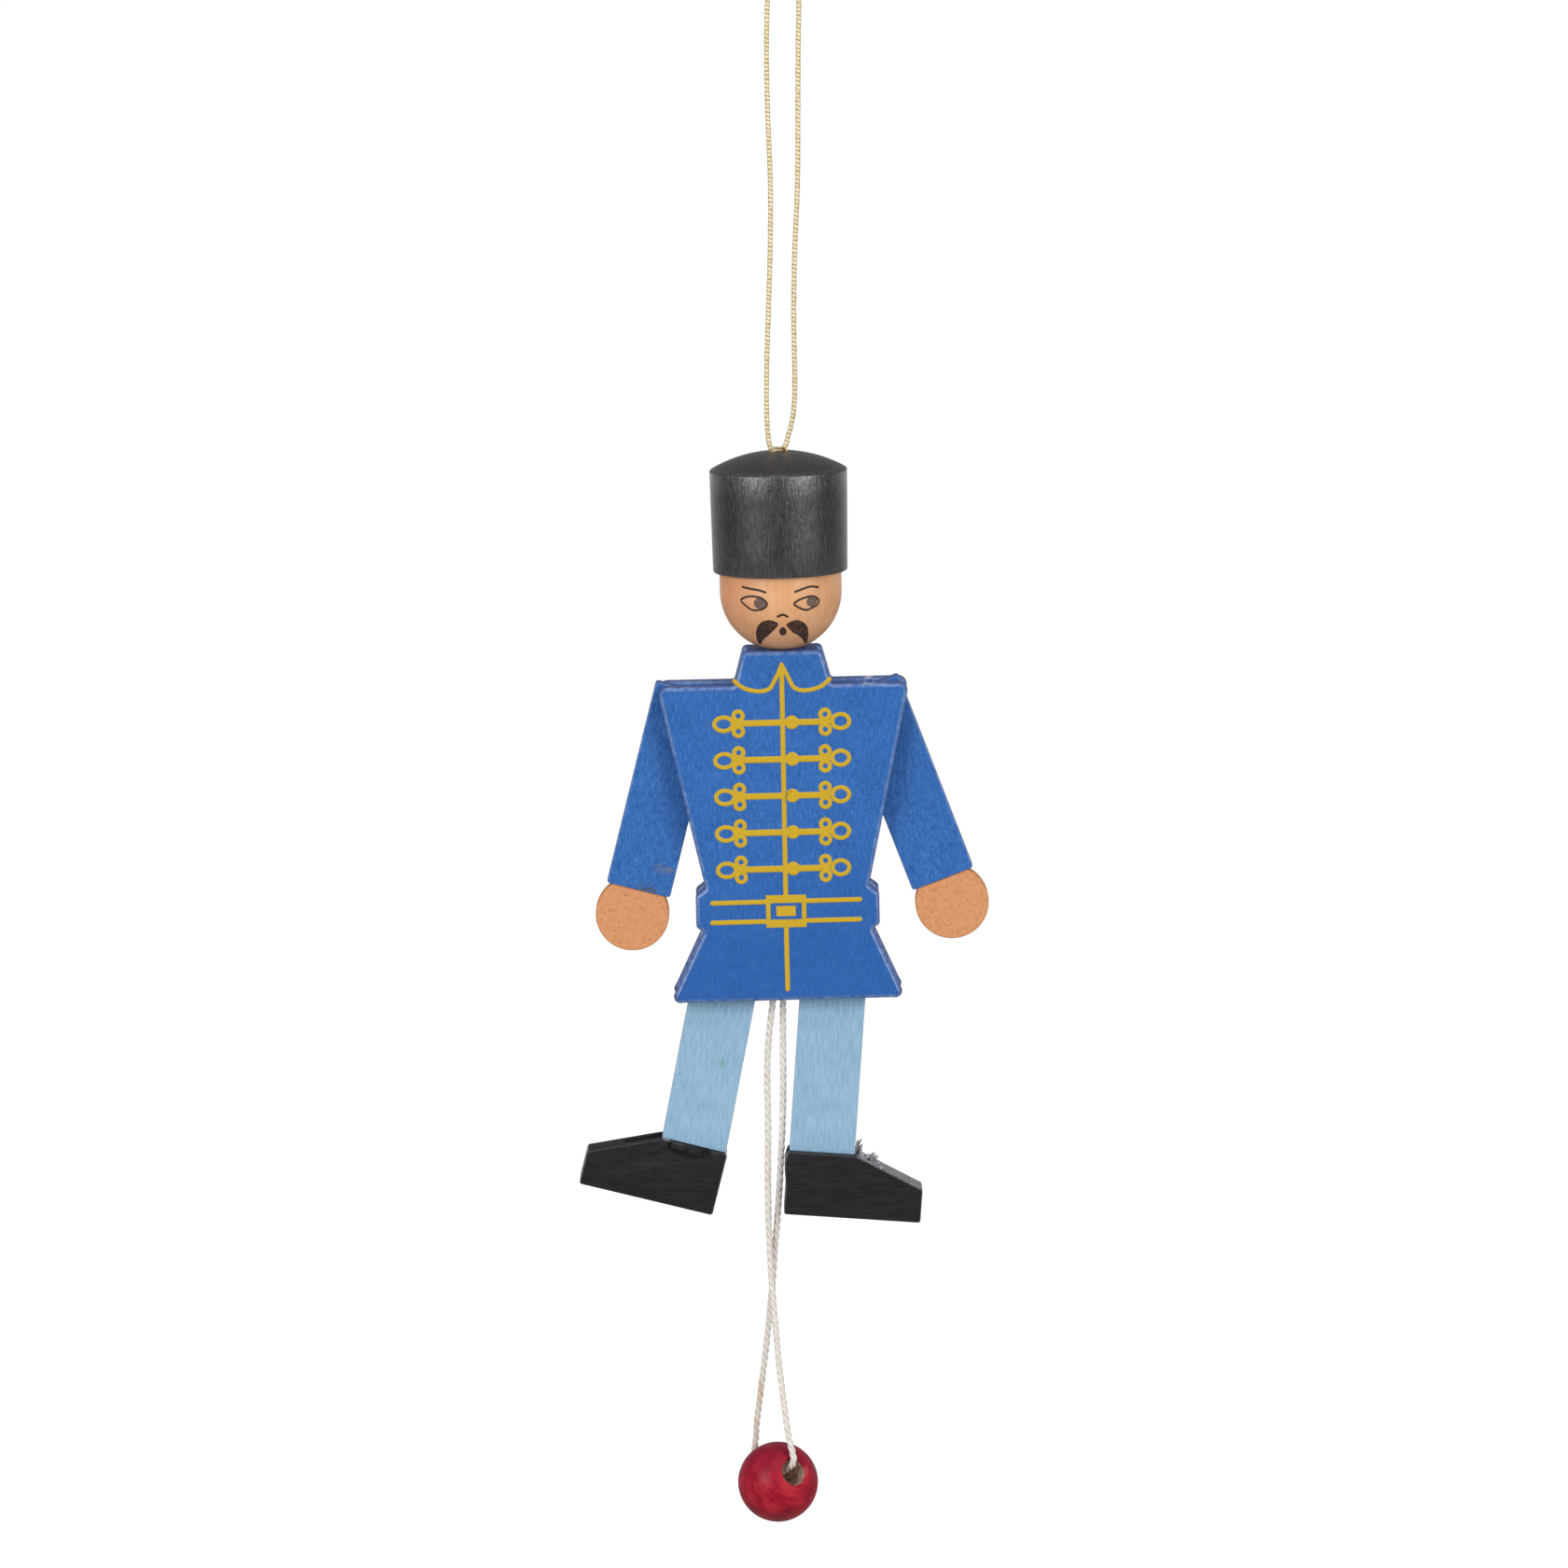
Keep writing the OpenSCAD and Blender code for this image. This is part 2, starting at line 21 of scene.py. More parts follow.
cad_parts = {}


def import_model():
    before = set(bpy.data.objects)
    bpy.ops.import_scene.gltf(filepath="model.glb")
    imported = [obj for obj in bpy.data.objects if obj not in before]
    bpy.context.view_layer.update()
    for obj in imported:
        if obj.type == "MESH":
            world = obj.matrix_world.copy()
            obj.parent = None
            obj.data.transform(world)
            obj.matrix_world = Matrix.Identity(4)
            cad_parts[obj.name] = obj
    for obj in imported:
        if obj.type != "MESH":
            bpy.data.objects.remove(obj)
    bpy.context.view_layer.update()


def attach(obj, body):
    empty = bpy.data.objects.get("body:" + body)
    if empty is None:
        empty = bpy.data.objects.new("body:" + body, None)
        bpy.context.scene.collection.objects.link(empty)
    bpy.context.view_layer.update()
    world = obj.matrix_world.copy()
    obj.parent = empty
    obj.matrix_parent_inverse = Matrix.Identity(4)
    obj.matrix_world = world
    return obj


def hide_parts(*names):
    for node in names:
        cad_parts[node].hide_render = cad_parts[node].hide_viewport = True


LOG = logging.getLogger("jumping_jack")
MM = 0.001

# Middle of the figure's hem, in the frame of the hanging loop
HEM = Vector((-2.0, 0.0, -134.8))
# Layers of the figure, from the panels' outsides to the limbs
PANEL_THICK = 2.2
GAP = 3.4
DEPTH = GAP + 2 * PANEL_THICK
LIMB_THICK = 2.4
# Places of the right nails on the figure, and how far both arms hang to its side
ARM_NAIL = (12.85, 36.2)
LEG_NAIL = (6.5, 10.2)
ARMS_ASIDE = -0.5
# Play where two pieces are glued or driven together
SEAT = 0.02
# Largest angle that is shaded smooth, and least one that is a corner of an outline, in degrees
SMOOTH = 50.0
CORNER = 16.0
# Step along a cord's line in mm, and steps between two points of its route before that
STEP = 0.12
CURVE_STEPS = 24
# Steps round the line of a knot, which ends two steps before it would close
KNOT_STEPS = 50

Point2 = tuple[float, float]
Point3 = tuple[float, float, float]
AddNode = Callable[..., bpy.types.NodeSocket | None]


class Side(Enum):
    """The two sides of the figure, as the viewer sees them."""

    LEFT = -1
    RIGHT = 1

    @property
    def word(self) -> str:
        """The side's name in a piece's name."""
        return self.name.lower()


def place(x: float, y: float, z: float) -> Vector:
    """Turns a figure place, in mm right of, behind and above the hem's middle, into metres."""
    return (HEM + Vector((x, y, z))) * MM


def linear(code: str) -> tuple[float, float, float, float]:
    """Turns an sRGB hex colour into linear values.

    Args:
        code: Six hex digits.

    Returns:
        Linear red, green, blue and a full alpha.
    """
    values = []
    for start in (0, 2, 4):
        value = int(code[start:start + 2], 16) / 255
        values.append(value / 12.92 if value <= 0.04045 else ((value + 0.055) / 1.055) ** 2.4)
    return (values[0], values[1], values[2], 1.0)


def add_node(
    tree: bpy.types.NodeTree, kind: str, feeds: dict[str | int, object] | None = None,
    out: str | int = 0, **settings: object,
) -> bpy.types.NodeSocket | None:
    """Adds a node with its settings and links.

    Args:
        tree: The node tree.
        kind: The node's type, without the word ShaderNode.
        feeds: What its sockets get, by name or number: another node's socket, a value, or an
            sRGB hex colour.
        out: Name or number of the output that is wanted.
        **settings: The node's own properties, or the stops of a colour ramp.

    Returns:
        The wanted output, or nothing for the node that ends a tree.
    """
    node = tree.nodes.new(f"ShaderNode{kind}")
    for number, (position, code) in enumerate(settings.pop("stops", ())):
        ramp = node.color_ramp.elements
        stop = ramp[number] if number < len(ramp) else ramp.new(position)
        stop.position, stop.color = position, linear(code)
    for key, value in settings.items():
        setattr(node, key, value)
    for key, value in (feeds or {}).items():
        if isinstance(value, bpy.types.NodeSocket):
            tree.links.new(value, node.inputs[key])
        else:
            node.inputs[key].default_value = linear(value) if isinstance(value, str) else value
    return node.outputs[out] if node.outputs else None


def start_nodes(owner: bpy.types.Material | bpy.types.World) -> AddNode:
    """Empties the node tree of a material or world.

    Args:
        owner: The material or world.

    Returns:
        The function that adds a node to it.
    """
    owner.use_nodes = True
    owner.node_tree.nodes.clear()
    return partial(add_node, owner.node_tree)


def oval(x: float, z: float, wide: float, high: float, count: int) -> list[Point2]:
    """Draws an oval's points about a middle, from its half width and half height."""
    angles = [math.tau * k / count for k in range(count)]
    return [(x + wide * math.cos(a), z + high * math.sin(a)) for a in angles]


def turned(x: float, z: float, degrees: float) -> Point2:
    """Turns a place about the origin by an angle from X towards Z."""
    cos, sin = math.cos(math.radians(degrees)), math.sin(math.radians(degrees))
    return (x * cos - z * sin, x * sin + z * cos)


@dataclass(frozen=True)
class Grain:
    """Where a piece of wood's grain runs, and how coarse it is.

    The pattern's own Z axis runs along the grain.
    """

    origin: Point3 = (0.0, 0.0, 0.0)
    turn: Point3 = (0.0, 0.0, 0.0)
    fibre: float = 0.16
    length: float = 4.0

    def coordinates(self, add: AddNode) -> bpy.types.NodeSocket:
        """Gives object coordinates in mm, with Z along the grain.

        Args:
            add: Adds a node to the material's tree.

        Returns:
            The vector socket.
        """
        return add(
            "Mapping",
            {
                "Vector": add("TexCoord", out="Object"), "Location": place(*self.origin),
                "Rotation": [math.radians(a) for a in self.turn], "Scale": (MM, MM, MM),
            },
            vector_type="TEXTURE",
        )

    def fibres(
        self, add: AddNode, vector: bpy.types.NodeSocket, detail: float = 3.0
    ) -> bpy.types.NodeSocket:
        """Draws the wood's fibres along the grain.

        Args:
            add: Adds a node to the material's tree.
            vector: Coordinates in mm.
            detail: Detail of the noise.

        Returns:
            The noise value.
        """
        stretched = add("Mapping",
            {"Vector": vector, "Scale": (1 / self.fibre, 1 / self.fibre, 1 / self.length)},
        )
        return add("TexNoise",
            {"Vector": stretched, "Scale": 1.0, "Detail": detail, "Roughness": 0.55},
        )


@dataclass(frozen=True)
class Mark:
    """A scuff, smudge or speck: its figure place, size in mm, tilt, colour and cover."""

    x: float
    z: float
    wide: float
    high: float
    tilt: float
    colour: str
    cover: float = 0.9

    def over(self, add: AddNode, colour: bpy.types.NodeSocket | str) -> bpy.types.NodeSocket:
        """Lays the mark over a colour.

        Args:
            add: Adds a node to the material's tree.
            colour: The colour so far.

        Returns:
            The colour with the mark.
        """
        local = add(
            "Mapping",
            {
                "Vector": add("TexCoord", out="Object"), "Location": place(self.x, 0.0, self.z),
                "Rotation": (0.0, math.radians(-self.tilt), 0.0),
                "Scale": (self.wide / 2 * MM, DEPTH * MM, self.high / 2 * MM),
            },
            vector_type="TEXTURE",
        )
        ball = add("TexGradient", {"Vector": local}, 1, gradient_type="SPHERICAL")
        ragged = add("TexNoise", {"Vector": local, "Scale": 2.2, "Detail": 5.0, "Roughness": 0.65})
        inside = add("MapRange", {"Value": ball, "From Min": 0.02, "From Max": 0.35})
        torn = add("MapRange",
            {"Value": ragged, "From Min": 0.42, "From Max": 0.55, "To Max": self.cover},
        )
        patch = add("Math", {0: inside, 1: torn}, operation="MULTIPLY")
        return add("Mix", {0: patch, 6: colour, 7: self.colour}, 2, data_type="RGBA")


@dataclass(frozen=True)
class Finish:
    """A surface finish, built as one material."""

    name: str

    def build(self) -> bpy.types.Material:
        """Builds the material.

        Returns:
            The finished material.
        """
        material = bpy.data.materials.new(self.name)
        add = start_nodes(material)
        add("OutputMaterial", {"Surface": add("BsdfPrincipled", self.surface(add))})
        return material

    def surface(self, add: AddNode) -> dict[str, object]:
        """Draws the finish's pattern.

        Args:
            add: Adds a node to the material's tree.

        Returns:
            What goes into the shader's sockets.
        """
        raise NotImplementedError


@dataclass(frozen=True)
class WoodPaint(Finish):
    """Brushed satin paint on sanded limewood, with its grain telegraphing through.

    The eye sees an even colour with fine streaks along the grain and faint mottling, a soft
    sheen, thinner paint on the sawn sides, where a pale side colour is also a painted sheen,
    and pale rubbed wood on the rounded edges, where a pale worn colour is also a painted highlight.
    """

    colour: str = "FFFFFF"
    dark: str = "FFFFFF"
    light: str = "FFFFFF"
    worn: str = "FFFFFF"
    wall: str = ""
    wall_cover: float = 0.5
    # Colour of the painted shade towards the hem, or nothing
    low: str = ""
    cloud: float = 0.12
    grain: Grain = field(default_factory=Grain)
    roughness: float = 0.5
    streaks: float = 0.5
    relief: float = 0.02
    wear: float = 0.7
    gloss: float = 0.3
    wall_lean: float = -0.12
    marks: tuple[Mark, ...] = ()

    def surface(self, add: AddNode) -> dict[str, object]:
        """Draws the paint.

        Args:
            add: Adds a node to the material's tree.

        Returns:
            What goes into the shader's sockets.
        """
        vector = self.grain.coordinates(add)
        fibres = self.grain.fibres(add, vector)
        # Brush mottling of 0.35 mm, and slow changes of 5 mm in the paint's thickness
        mottle = add("TexNoise", {"Vector": vector, "Scale": 1 / 0.35, "Detail": 3.0})
        broad = add("TexNoise", {"Vector": vector, "Scale": 1 / 5.0})
        tone = add("Mix", {0: self.streaks, 2: mottle, 3: fibres}, data_type="FLOAT")
        tone = add("Mix", {0: self.cloud, 2: tone, 3: broad}, data_type="FLOAT")
        colour = add("ValToRGB",
            {"Fac": tone},
            stops=((0.38, self.dark), (0.5, self.colour), (0.62, self.light)),
        )
        # Painted shade, darker towards the hem
        if self.low:
            colour = self.towards_hem(add, colour)
        if self.wall:
            colour = self.sawn_sides(add, fibres, colour)
        for mark in self.marks:
            colour = mark.over(add, colour)
        rubbed = add(
            "TexNoise", {"Vector": vector, "Scale": 1 / 0.9, "Detail": 4.0, "Roughness": 0.6},
        )
        rubbed = add("MapRange",
            {"Value": rubbed, "From Min": 0.36, "From Max": 0.62, "To Max": self.wear},
        )
        # Painted highlight and wear: rubbed patches of the rounded edges take the worn colour
        edge = add("Attribute", out="Fac", attribute_name="edge")
        bare = add("Math", {0: edge, 1: rubbed}, operation="MULTIPLY")
        colour = add("Mix", {0: bare, 6: colour, 7: self.worn}, 2, data_type="RGBA")
        rough = add("MapRange",
            {"Value": tone, "To Min": self.roughness * 0.8, "To Max": self.roughness * 1.2},
        )
        # The coat pools smooth on the rounded edges
        rough = add("Mix", {0: edge, 2: rough, 3: self.roughness * 0.6}, data_type="FLOAT"
        )
        gloss = add("MapRange", {"Value": edge, "To Min": self.gloss, "To Max": self.gloss + 0.5})
        bump = add("Bump", {"Height": tone, "Distance": self.relief * MM})
        return {
            "Base Color": colour, "Roughness": rough, "Normal": bump, "Specular IOR Level": gloss,
        }

    def towards_hem(self, add: AddNode, colour: bpy.types.NodeSocket) -> bpy.types.NodeSocket:
        """Darkens the paint towards the hem with painted shade.

        Args:
            add: Adds a node to the material's tree.
            colour: The colour so far.

        Returns:
            The colour with the painted shade towards the hem.
        """
        height = add("SeparateXYZ", {0: add("TexCoord", out="Object")}, "Z")
        high, low = (place(0.0, 0.0, z).z for z in (22.0, 6.0))
        depth = add("MapRange", {"Value": height, "From Min": high, "From Max": low, "To Max": 0.5})
        return add("Mix", {0: depth, 6: colour, 7: self.low}, 2, data_type="RGBA")

    def sawn_sides(
        self, add: AddNode, fibres: bpy.types.NodeSocket, colour: bpy.types.NodeSocket
    ) -> bpy.types.NodeSocket:
        """Thins the paint on a plate's sawn sides, where the wood soaks it up.

        A pale side colour is also a painted sheen there.

        Args:
            add: Adds a node to the material's tree.
            fibres: The fibres' noise.
            colour: The colour of the plate's faces.

        Returns:
            The colour with the sides.
        """
        normal = add("TexCoord", out="Normal")
        across, sideways = (
            add("Math", {0: add("SeparateXYZ", {0: normal}, axis)}, operation="ABSOLUTE")
            for axis in ("Y", "X")
        )
        side = add("MapRange", {"Value": across, "From Min": 0.7, "From Max": 0.3})
        leans = add(
            "MapRange",
            {"Value": sideways, "From Min": self.wall_lean, "From Max": self.wall_lean + 0.12},
        )
        side = add("Math", {0: side, 1: leans}, operation="MULTIPLY")
        soaked = add("MapRange",
            {"Value": fibres, "From Min": 0.3, "From Max": 0.7, "To Max": 2 * self.wall_cover},
        )
        thin = add("Math", {0: side, 1: soaked}, operation="MULTIPLY", use_clamp=True)
        return add("Mix", {0: thin, 6: colour, 7: self.wall}, 2, data_type="RGBA")


@dataclass(frozen=True)
class EndGrainStain(Finish):
    """Stained end grain of a beech dowel: a sawn face full of small pores.

    The eye sees a matt tan disc sprinkled with fine orange-brown dots and short flecks.
    """

    grain: Grain = field(default_factory=Grain)
    colour: str = "CC8B5B"
    light: str = "D8996B"
    pore: str = "A8612F"
    rim: str = "B9733F"

    def surface(self, add: AddNode) -> dict[str, object]:
        """Draws the end grain.

        Args:
            add: Adds a node to the material's tree.

        Returns:
            What goes into the shader's sockets.
        """
        vector = self.grain.coordinates(add)
        cloud = add(
            "TexNoise", {"Vector": vector, "Scale": 1 / 0.6, "Detail": 5.0, "Roughness": 0.65},
        )
        colour = add("ValToRGB", {"Fac": cloud}, stops=((0.36, self.colour), (0.62, self.light)))
        # Pores of 0.1 to 0.2 mm, about 0.4 mm apart, in loose groups
        spread = add("Mapping", {"Vector": vector, "Scale": (2.6, 2.6, 1.9)})
        pores = add("TexVoronoi", {"Vector": spread, "Scale": 1.0})
        dots = add("MapRange", {"Value": pores, "From Min": 0.32, "From Max": 0.14})
        group = add("TexNoise", {"Vector": vector, "Scale": 1 / 0.8, "Detail": 3.0})
        group = add("MapRange",
            {"Value": group, "From Min": 0.44, "From Max": 0.58, "To Max": 0.85},
        )
        speck = add("Math", {0: dots, 1: group}, operation="MULTIPLY")
        colour = add("Mix", {0: speck, 6: colour, 7: self.pore}, 2, data_type="RGBA")
        edge = add("Attribute", out="Fac", attribute_name="edge")
        edge = add("MapRange", {"Value": edge, "To Max": 0.6})
        colour = add("Mix", {0: edge, 6: colour, 7: self.rim}, 2, data_type="RGBA")
        bump = add("Bump", {"Height": cloud, "Distance": 0.02 * MM})
        return {"Base Color": colour, "Roughness": 0.62, "Specular IOR Level": 0.3, "Normal": bump}


@dataclass(frozen=True)
class TurnedStain(Finish):
    """Skin-coloured stain on a turned beech ball under thin clear varnish.

    The eye sees a warm tan with faint upright grain, a little darker and redder at the ball's sides
    as painted shade, and a soft sheen.
    """

    colour: str = "E0A778"
    dark: str = "DBA070"
    light: str = "E4AE81"
    # Colour of the painted shade at the ball's sides
    side: str = "E0926A"

    def surface(self, add: AddNode) -> dict[str, object]:
        """Draws the stain.

        Args:
            add: Adds a node to the material's tree.

        Returns:
            What goes into the shader's sockets.
        """
        grain = Grain(fibre=0.5, length=9.0)
        vector = grain.coordinates(add)
        broad = add("TexNoise", {"Vector": vector, "Scale": 1 / 3.0})
        tone = add("Mix", {0: 0.45, 2: grain.fibres(add, vector), 3: broad}, data_type="FLOAT")
        colour = add("ValToRGB",
            {"Fac": tone},
            stops=((0.38, self.dark), (0.5, self.colour), (0.62, self.light)),
        )
        # Painted shade: the ball's sides turn darker and redder, the left cheek more than the right
        across = add("Mapping",
            {"Vector": vector, "Location": (-0.25, 0.0, 0.0), "Scale": (1 / 9, 0.0, 0.0)},
        )
        middle = add("TexGradient", {"Vector": across}, 1, gradient_type="SPHERICAL")
        painted_side_shade = add("MapRange", {"Value": middle, "From Min": 0.5, "From Max": 0.0, "To Max": 0.45})
        colour = add("Mix", {0: painted_side_shade, 6: colour, 7: self.side}, 2, data_type="RGBA")
        bump = add("Bump", {"Height": tone, "Distance": 0.006 * MM})
        return {
            "Base Color": colour, "Roughness": 0.42, "Specular IOR Level": 0.35, "Normal": bump,
            "Coat Weight": 0.15, "Coat Roughness": 0.3,
        }


@dataclass(frozen=True)
class BeadStain(Finish):
    """Red stain and wax on a small turned beech bead.

    The eye sees a deep red with fibrous rings about the hole, lighter near the hole's mouths,
    darker towards the top and browner towards the bottom, a satin sheen, and bare brown wood
    inside the hole, paler deeper in as painted light.
    """

    centre: Vector = field(default_factory=Vector)
    turn: Point3 = (0.0, 0.0, 0.0)
    radius: float = 5.0
    colour: str = "A3112A"
    dark: str = "750A2B"
    light: str = "B92A38"
    patch: str = "A83A26"
    # Pale bore wood, lightened as painted light against the shade inside the hole
    bore: str = "E6CBB8"

    def surface(self, add: AddNode) -> dict[str, object]:
        """Draws the stain.

        Args:
            add: Adds a node to the material's tree.

        Returns:
            What goes into the shader's sockets.
        """
        local = add("Mapping",
            {
                "Vector": add("TexCoord", out="Object"),
                "Location": self.centre * MM, "Rotation": self.turn, "Scale": (MM, MM, MM),
            },
            vector_type="TEXTURE",
        )
        # Rings of 0.2 mm about the hole, drawn out to 3 mm along them
        rings = add("Mapping", {"Vector": local, "Scale": (0.35, 0.35, 5.2)})
        streaks = add("TexNoise", {"Vector": rings, "Scale": 1.0, "Detail": 5.0, "Roughness": 0.6})
        cloud = add("TexNoise", {"Vector": local, "Scale": 1 / 2.4, "Detail": 3.0})
        tone = add("Mix", {0: 0.55, 2: streaks, 3: cloud}, data_type="FLOAT")
        colour = add("ValToRGB",
            {"Fac": tone},
            stops=((0.38, self.dark), (0.5, self.colour), (0.62, self.light)),
        )
        along = add("SeparateXYZ", {0: local}, "Z")
        along = add("Math", {0: along}, operation="ABSOLUTE")
        ends = add("MapRange",
            {
                "Value": along, "From Min": self.radius * 0.74, "From Max": self.radius * 0.92,
                "To Max": 0.4,
            },
        )
        colour = add("Mix", {0: ends, 6: colour, 7: self.light}, 2, data_type="RGBA")
        # Darker towards the top and browner towards the bottom, by height
        height = add("SeparateXYZ", {0: add("TexCoord", out="Object")}, "Z")
        for start, end, cover, tint in (
            (0.3, 0.9, 0.6, self.dark), (-0.55, -1.0, 0.55, self.patch),
        ):
            share = add("MapRange",
                {
                    "Value": height, "From Min": (self.centre.z + self.radius * start) * MM,
                    "From Max": (self.centre.z + self.radius * end) * MM, "To Max": cover,
                },
            )
            colour = add("Mix", {0: share, 6: colour, 7: tint}, 2, data_type="RGBA")
        wood = add("TexNoise", {"Vector": local, "Scale": 1 / 0.4, "Detail": 3.0})
        bored = add("Attribute", out="Fac", attribute_name="bore")
        ragged = add("Math", {0: bored, 1: wood}, operation="ADD")
        bored = add("MapRange", {"Value": ragged, "From Min": 1.05, "From Max": 1.3})
        wood = add("ValToRGB", {"Fac": wood}, stops=((0.35, "A98B7A"), (0.65, self.bore)))
        # Painted light: the bore's wood turns paler deeper in, against the hole's shade, and stays
        # red-brown at the mouth
        deep = add("MapRange",
            {
                "Value": along, "From Min": self.radius * 0.85, "From Max": self.radius * 0.6,
                "To Min": 0.3, "To Max": 1.0,
            },
        )
        wood = add("Mix", {0: deep, 6: "6E3F38", 7: wood}, 2, data_type="RGBA")
        colour = add("Mix", {0: bored, 6: colour, 7: wood}, 2, data_type="RGBA")
        rough = add("MapRange", {"Value": bored, "To Min": 0.36, "To Max": 0.8})
        bump = add("Bump", {"Height": streaks, "Distance": 0.025 * MM})
        return {"Base Color": colour, "Roughness": rough, "Specular IOR Level": 0.2, "Normal": bump}


@dataclass(frozen=True)
class Ink(Finish):
    """Screen or brush ink on paint: a thin matt film.

    The eye sees a flat colour with a fine speckle, where the cover is thin.
    """

    colour: str = "000000"
    thin: str = "000000"
    speckle: float = 0.25
    size: float = 0.3
    roughness: float = 0.55
    marks: tuple[Mark, ...] = ()

    def surface(self, add: AddNode) -> dict[str, object]:
        """Draws the ink.

        Args:
            add: Adds a node to the material's tree.

        Returns:
            What goes into the shader's sockets.
        """
        cover = add("TexNoise",
            {
                "Vector": Grain().coordinates(add), "Scale": 1 / self.size, "Detail": 4.0,
                "Roughness": 0.6,
            },
        )
        thin = add("MapRange",
            {"Value": cover, "From Min": 0.48, "From Max": 0.62, "To Max": self.speckle},
        )
        colour = add("Mix", {0: thin, 6: self.colour, 7: self.thin}, 2, data_type="RGBA")
        for mark in self.marks:
            colour = mark.over(add, colour)
        bump = add("Bump", {"Height": cover, "Distance": 0.01 * MM})
        return {
            "Base Color": colour, "Roughness": self.roughness, "Specular IOR Level": 0.3,
            "Normal": bump,
        }


@dataclass(frozen=True)
class Yarn(Finish):
    """Spun fibres in a twisted cord, laid along each strand.

    The eye sees fine lines along the strands, darkened in the grooves between them with painted
    shade.
    """

    colour: str = "FFFFFF"
    dark: str = "FFFFFF"
    light: str = "FFFFFF"
    # Colour of the painted shade in the grooves
    groove: str = "FFFFFF"
    roughness: float = 0.85
    metallic: float = 0.0
    fibre_share: float = 0.12
    fibre_run: float = 1.4
    sheen: float = 0.2
    marks: tuple[Mark, ...] = ()

    def surface(self, add: AddNode) -> dict[str, object]:
        """Draws the fibres.

        Args:
            add: Adds a node to the material's tree.

        Returns:
            What goes into the shader's sockets.
        """
        stretched = add("Mapping",
            {
                "Vector": add("UVMap", uv_map="strand"),
                "Scale": (1 / self.fibre_share, 1 / self.fibre_run, 1.0),
            },
        )
        fibres = add(
            "TexNoise", {"Vector": stretched, "Scale": 1.0, "Detail": 4.0, "Roughness": 0.65},
        )
        colour = add("ValToRGB",
            {"Fac": fibres},
            stops=((0.36, self.dark), (0.5, self.colour), (0.64, self.light)),
        )
        # Painted shade: points deep in a groove take the groove colour
        sunk = add("Attribute", out="Fac", attribute_name="sunk")
        colour = add("Mix", {0: sunk, 6: colour, 7: self.groove}, 2, data_type="RGBA")
        for mark in self.marks:
            colour = mark.over(add, colour)
        bump = add("Bump", {"Height": fibres, "Distance": 0.03 * MM})
        return {
            "Base Color": colour, "Roughness": self.roughness, "Metallic": self.metallic,
            "Sheen Weight": self.sheen, "Normal": bump,
        }


@dataclass(frozen=True)
class DrawnMetal(Finish):
    """Drawn wire or a stamped nail.

    The eye sees bare metal, dulled and darker in small spots.
    """

    colour: str = "FFFFFF"
    dark: str = "FFFFFF"
    roughness: float = 0.35

    def surface(self, add: AddNode) -> dict[str, object]:
        """Draws the tarnish.

        Args:
            add: Adds a node to the material's tree.

        Returns:
            What goes into the shader's sockets.
        """
        tarnish = add("TexNoise",
            {"Vector": Grain().coordinates(add), "Scale": 2.0, "Detail": 4.0, "Roughness": 0.6},
        )
        colour = add("ValToRGB", {"Fac": tarnish}, stops=((0.35, self.dark), (0.6, self.colour)))
        bump = add("Bump", {"Height": tarnish, "Distance": 0.01 * MM})
        return {"Base Color": colour, "Metallic": 1.0, "Roughness": self.roughness, "Normal": bump}


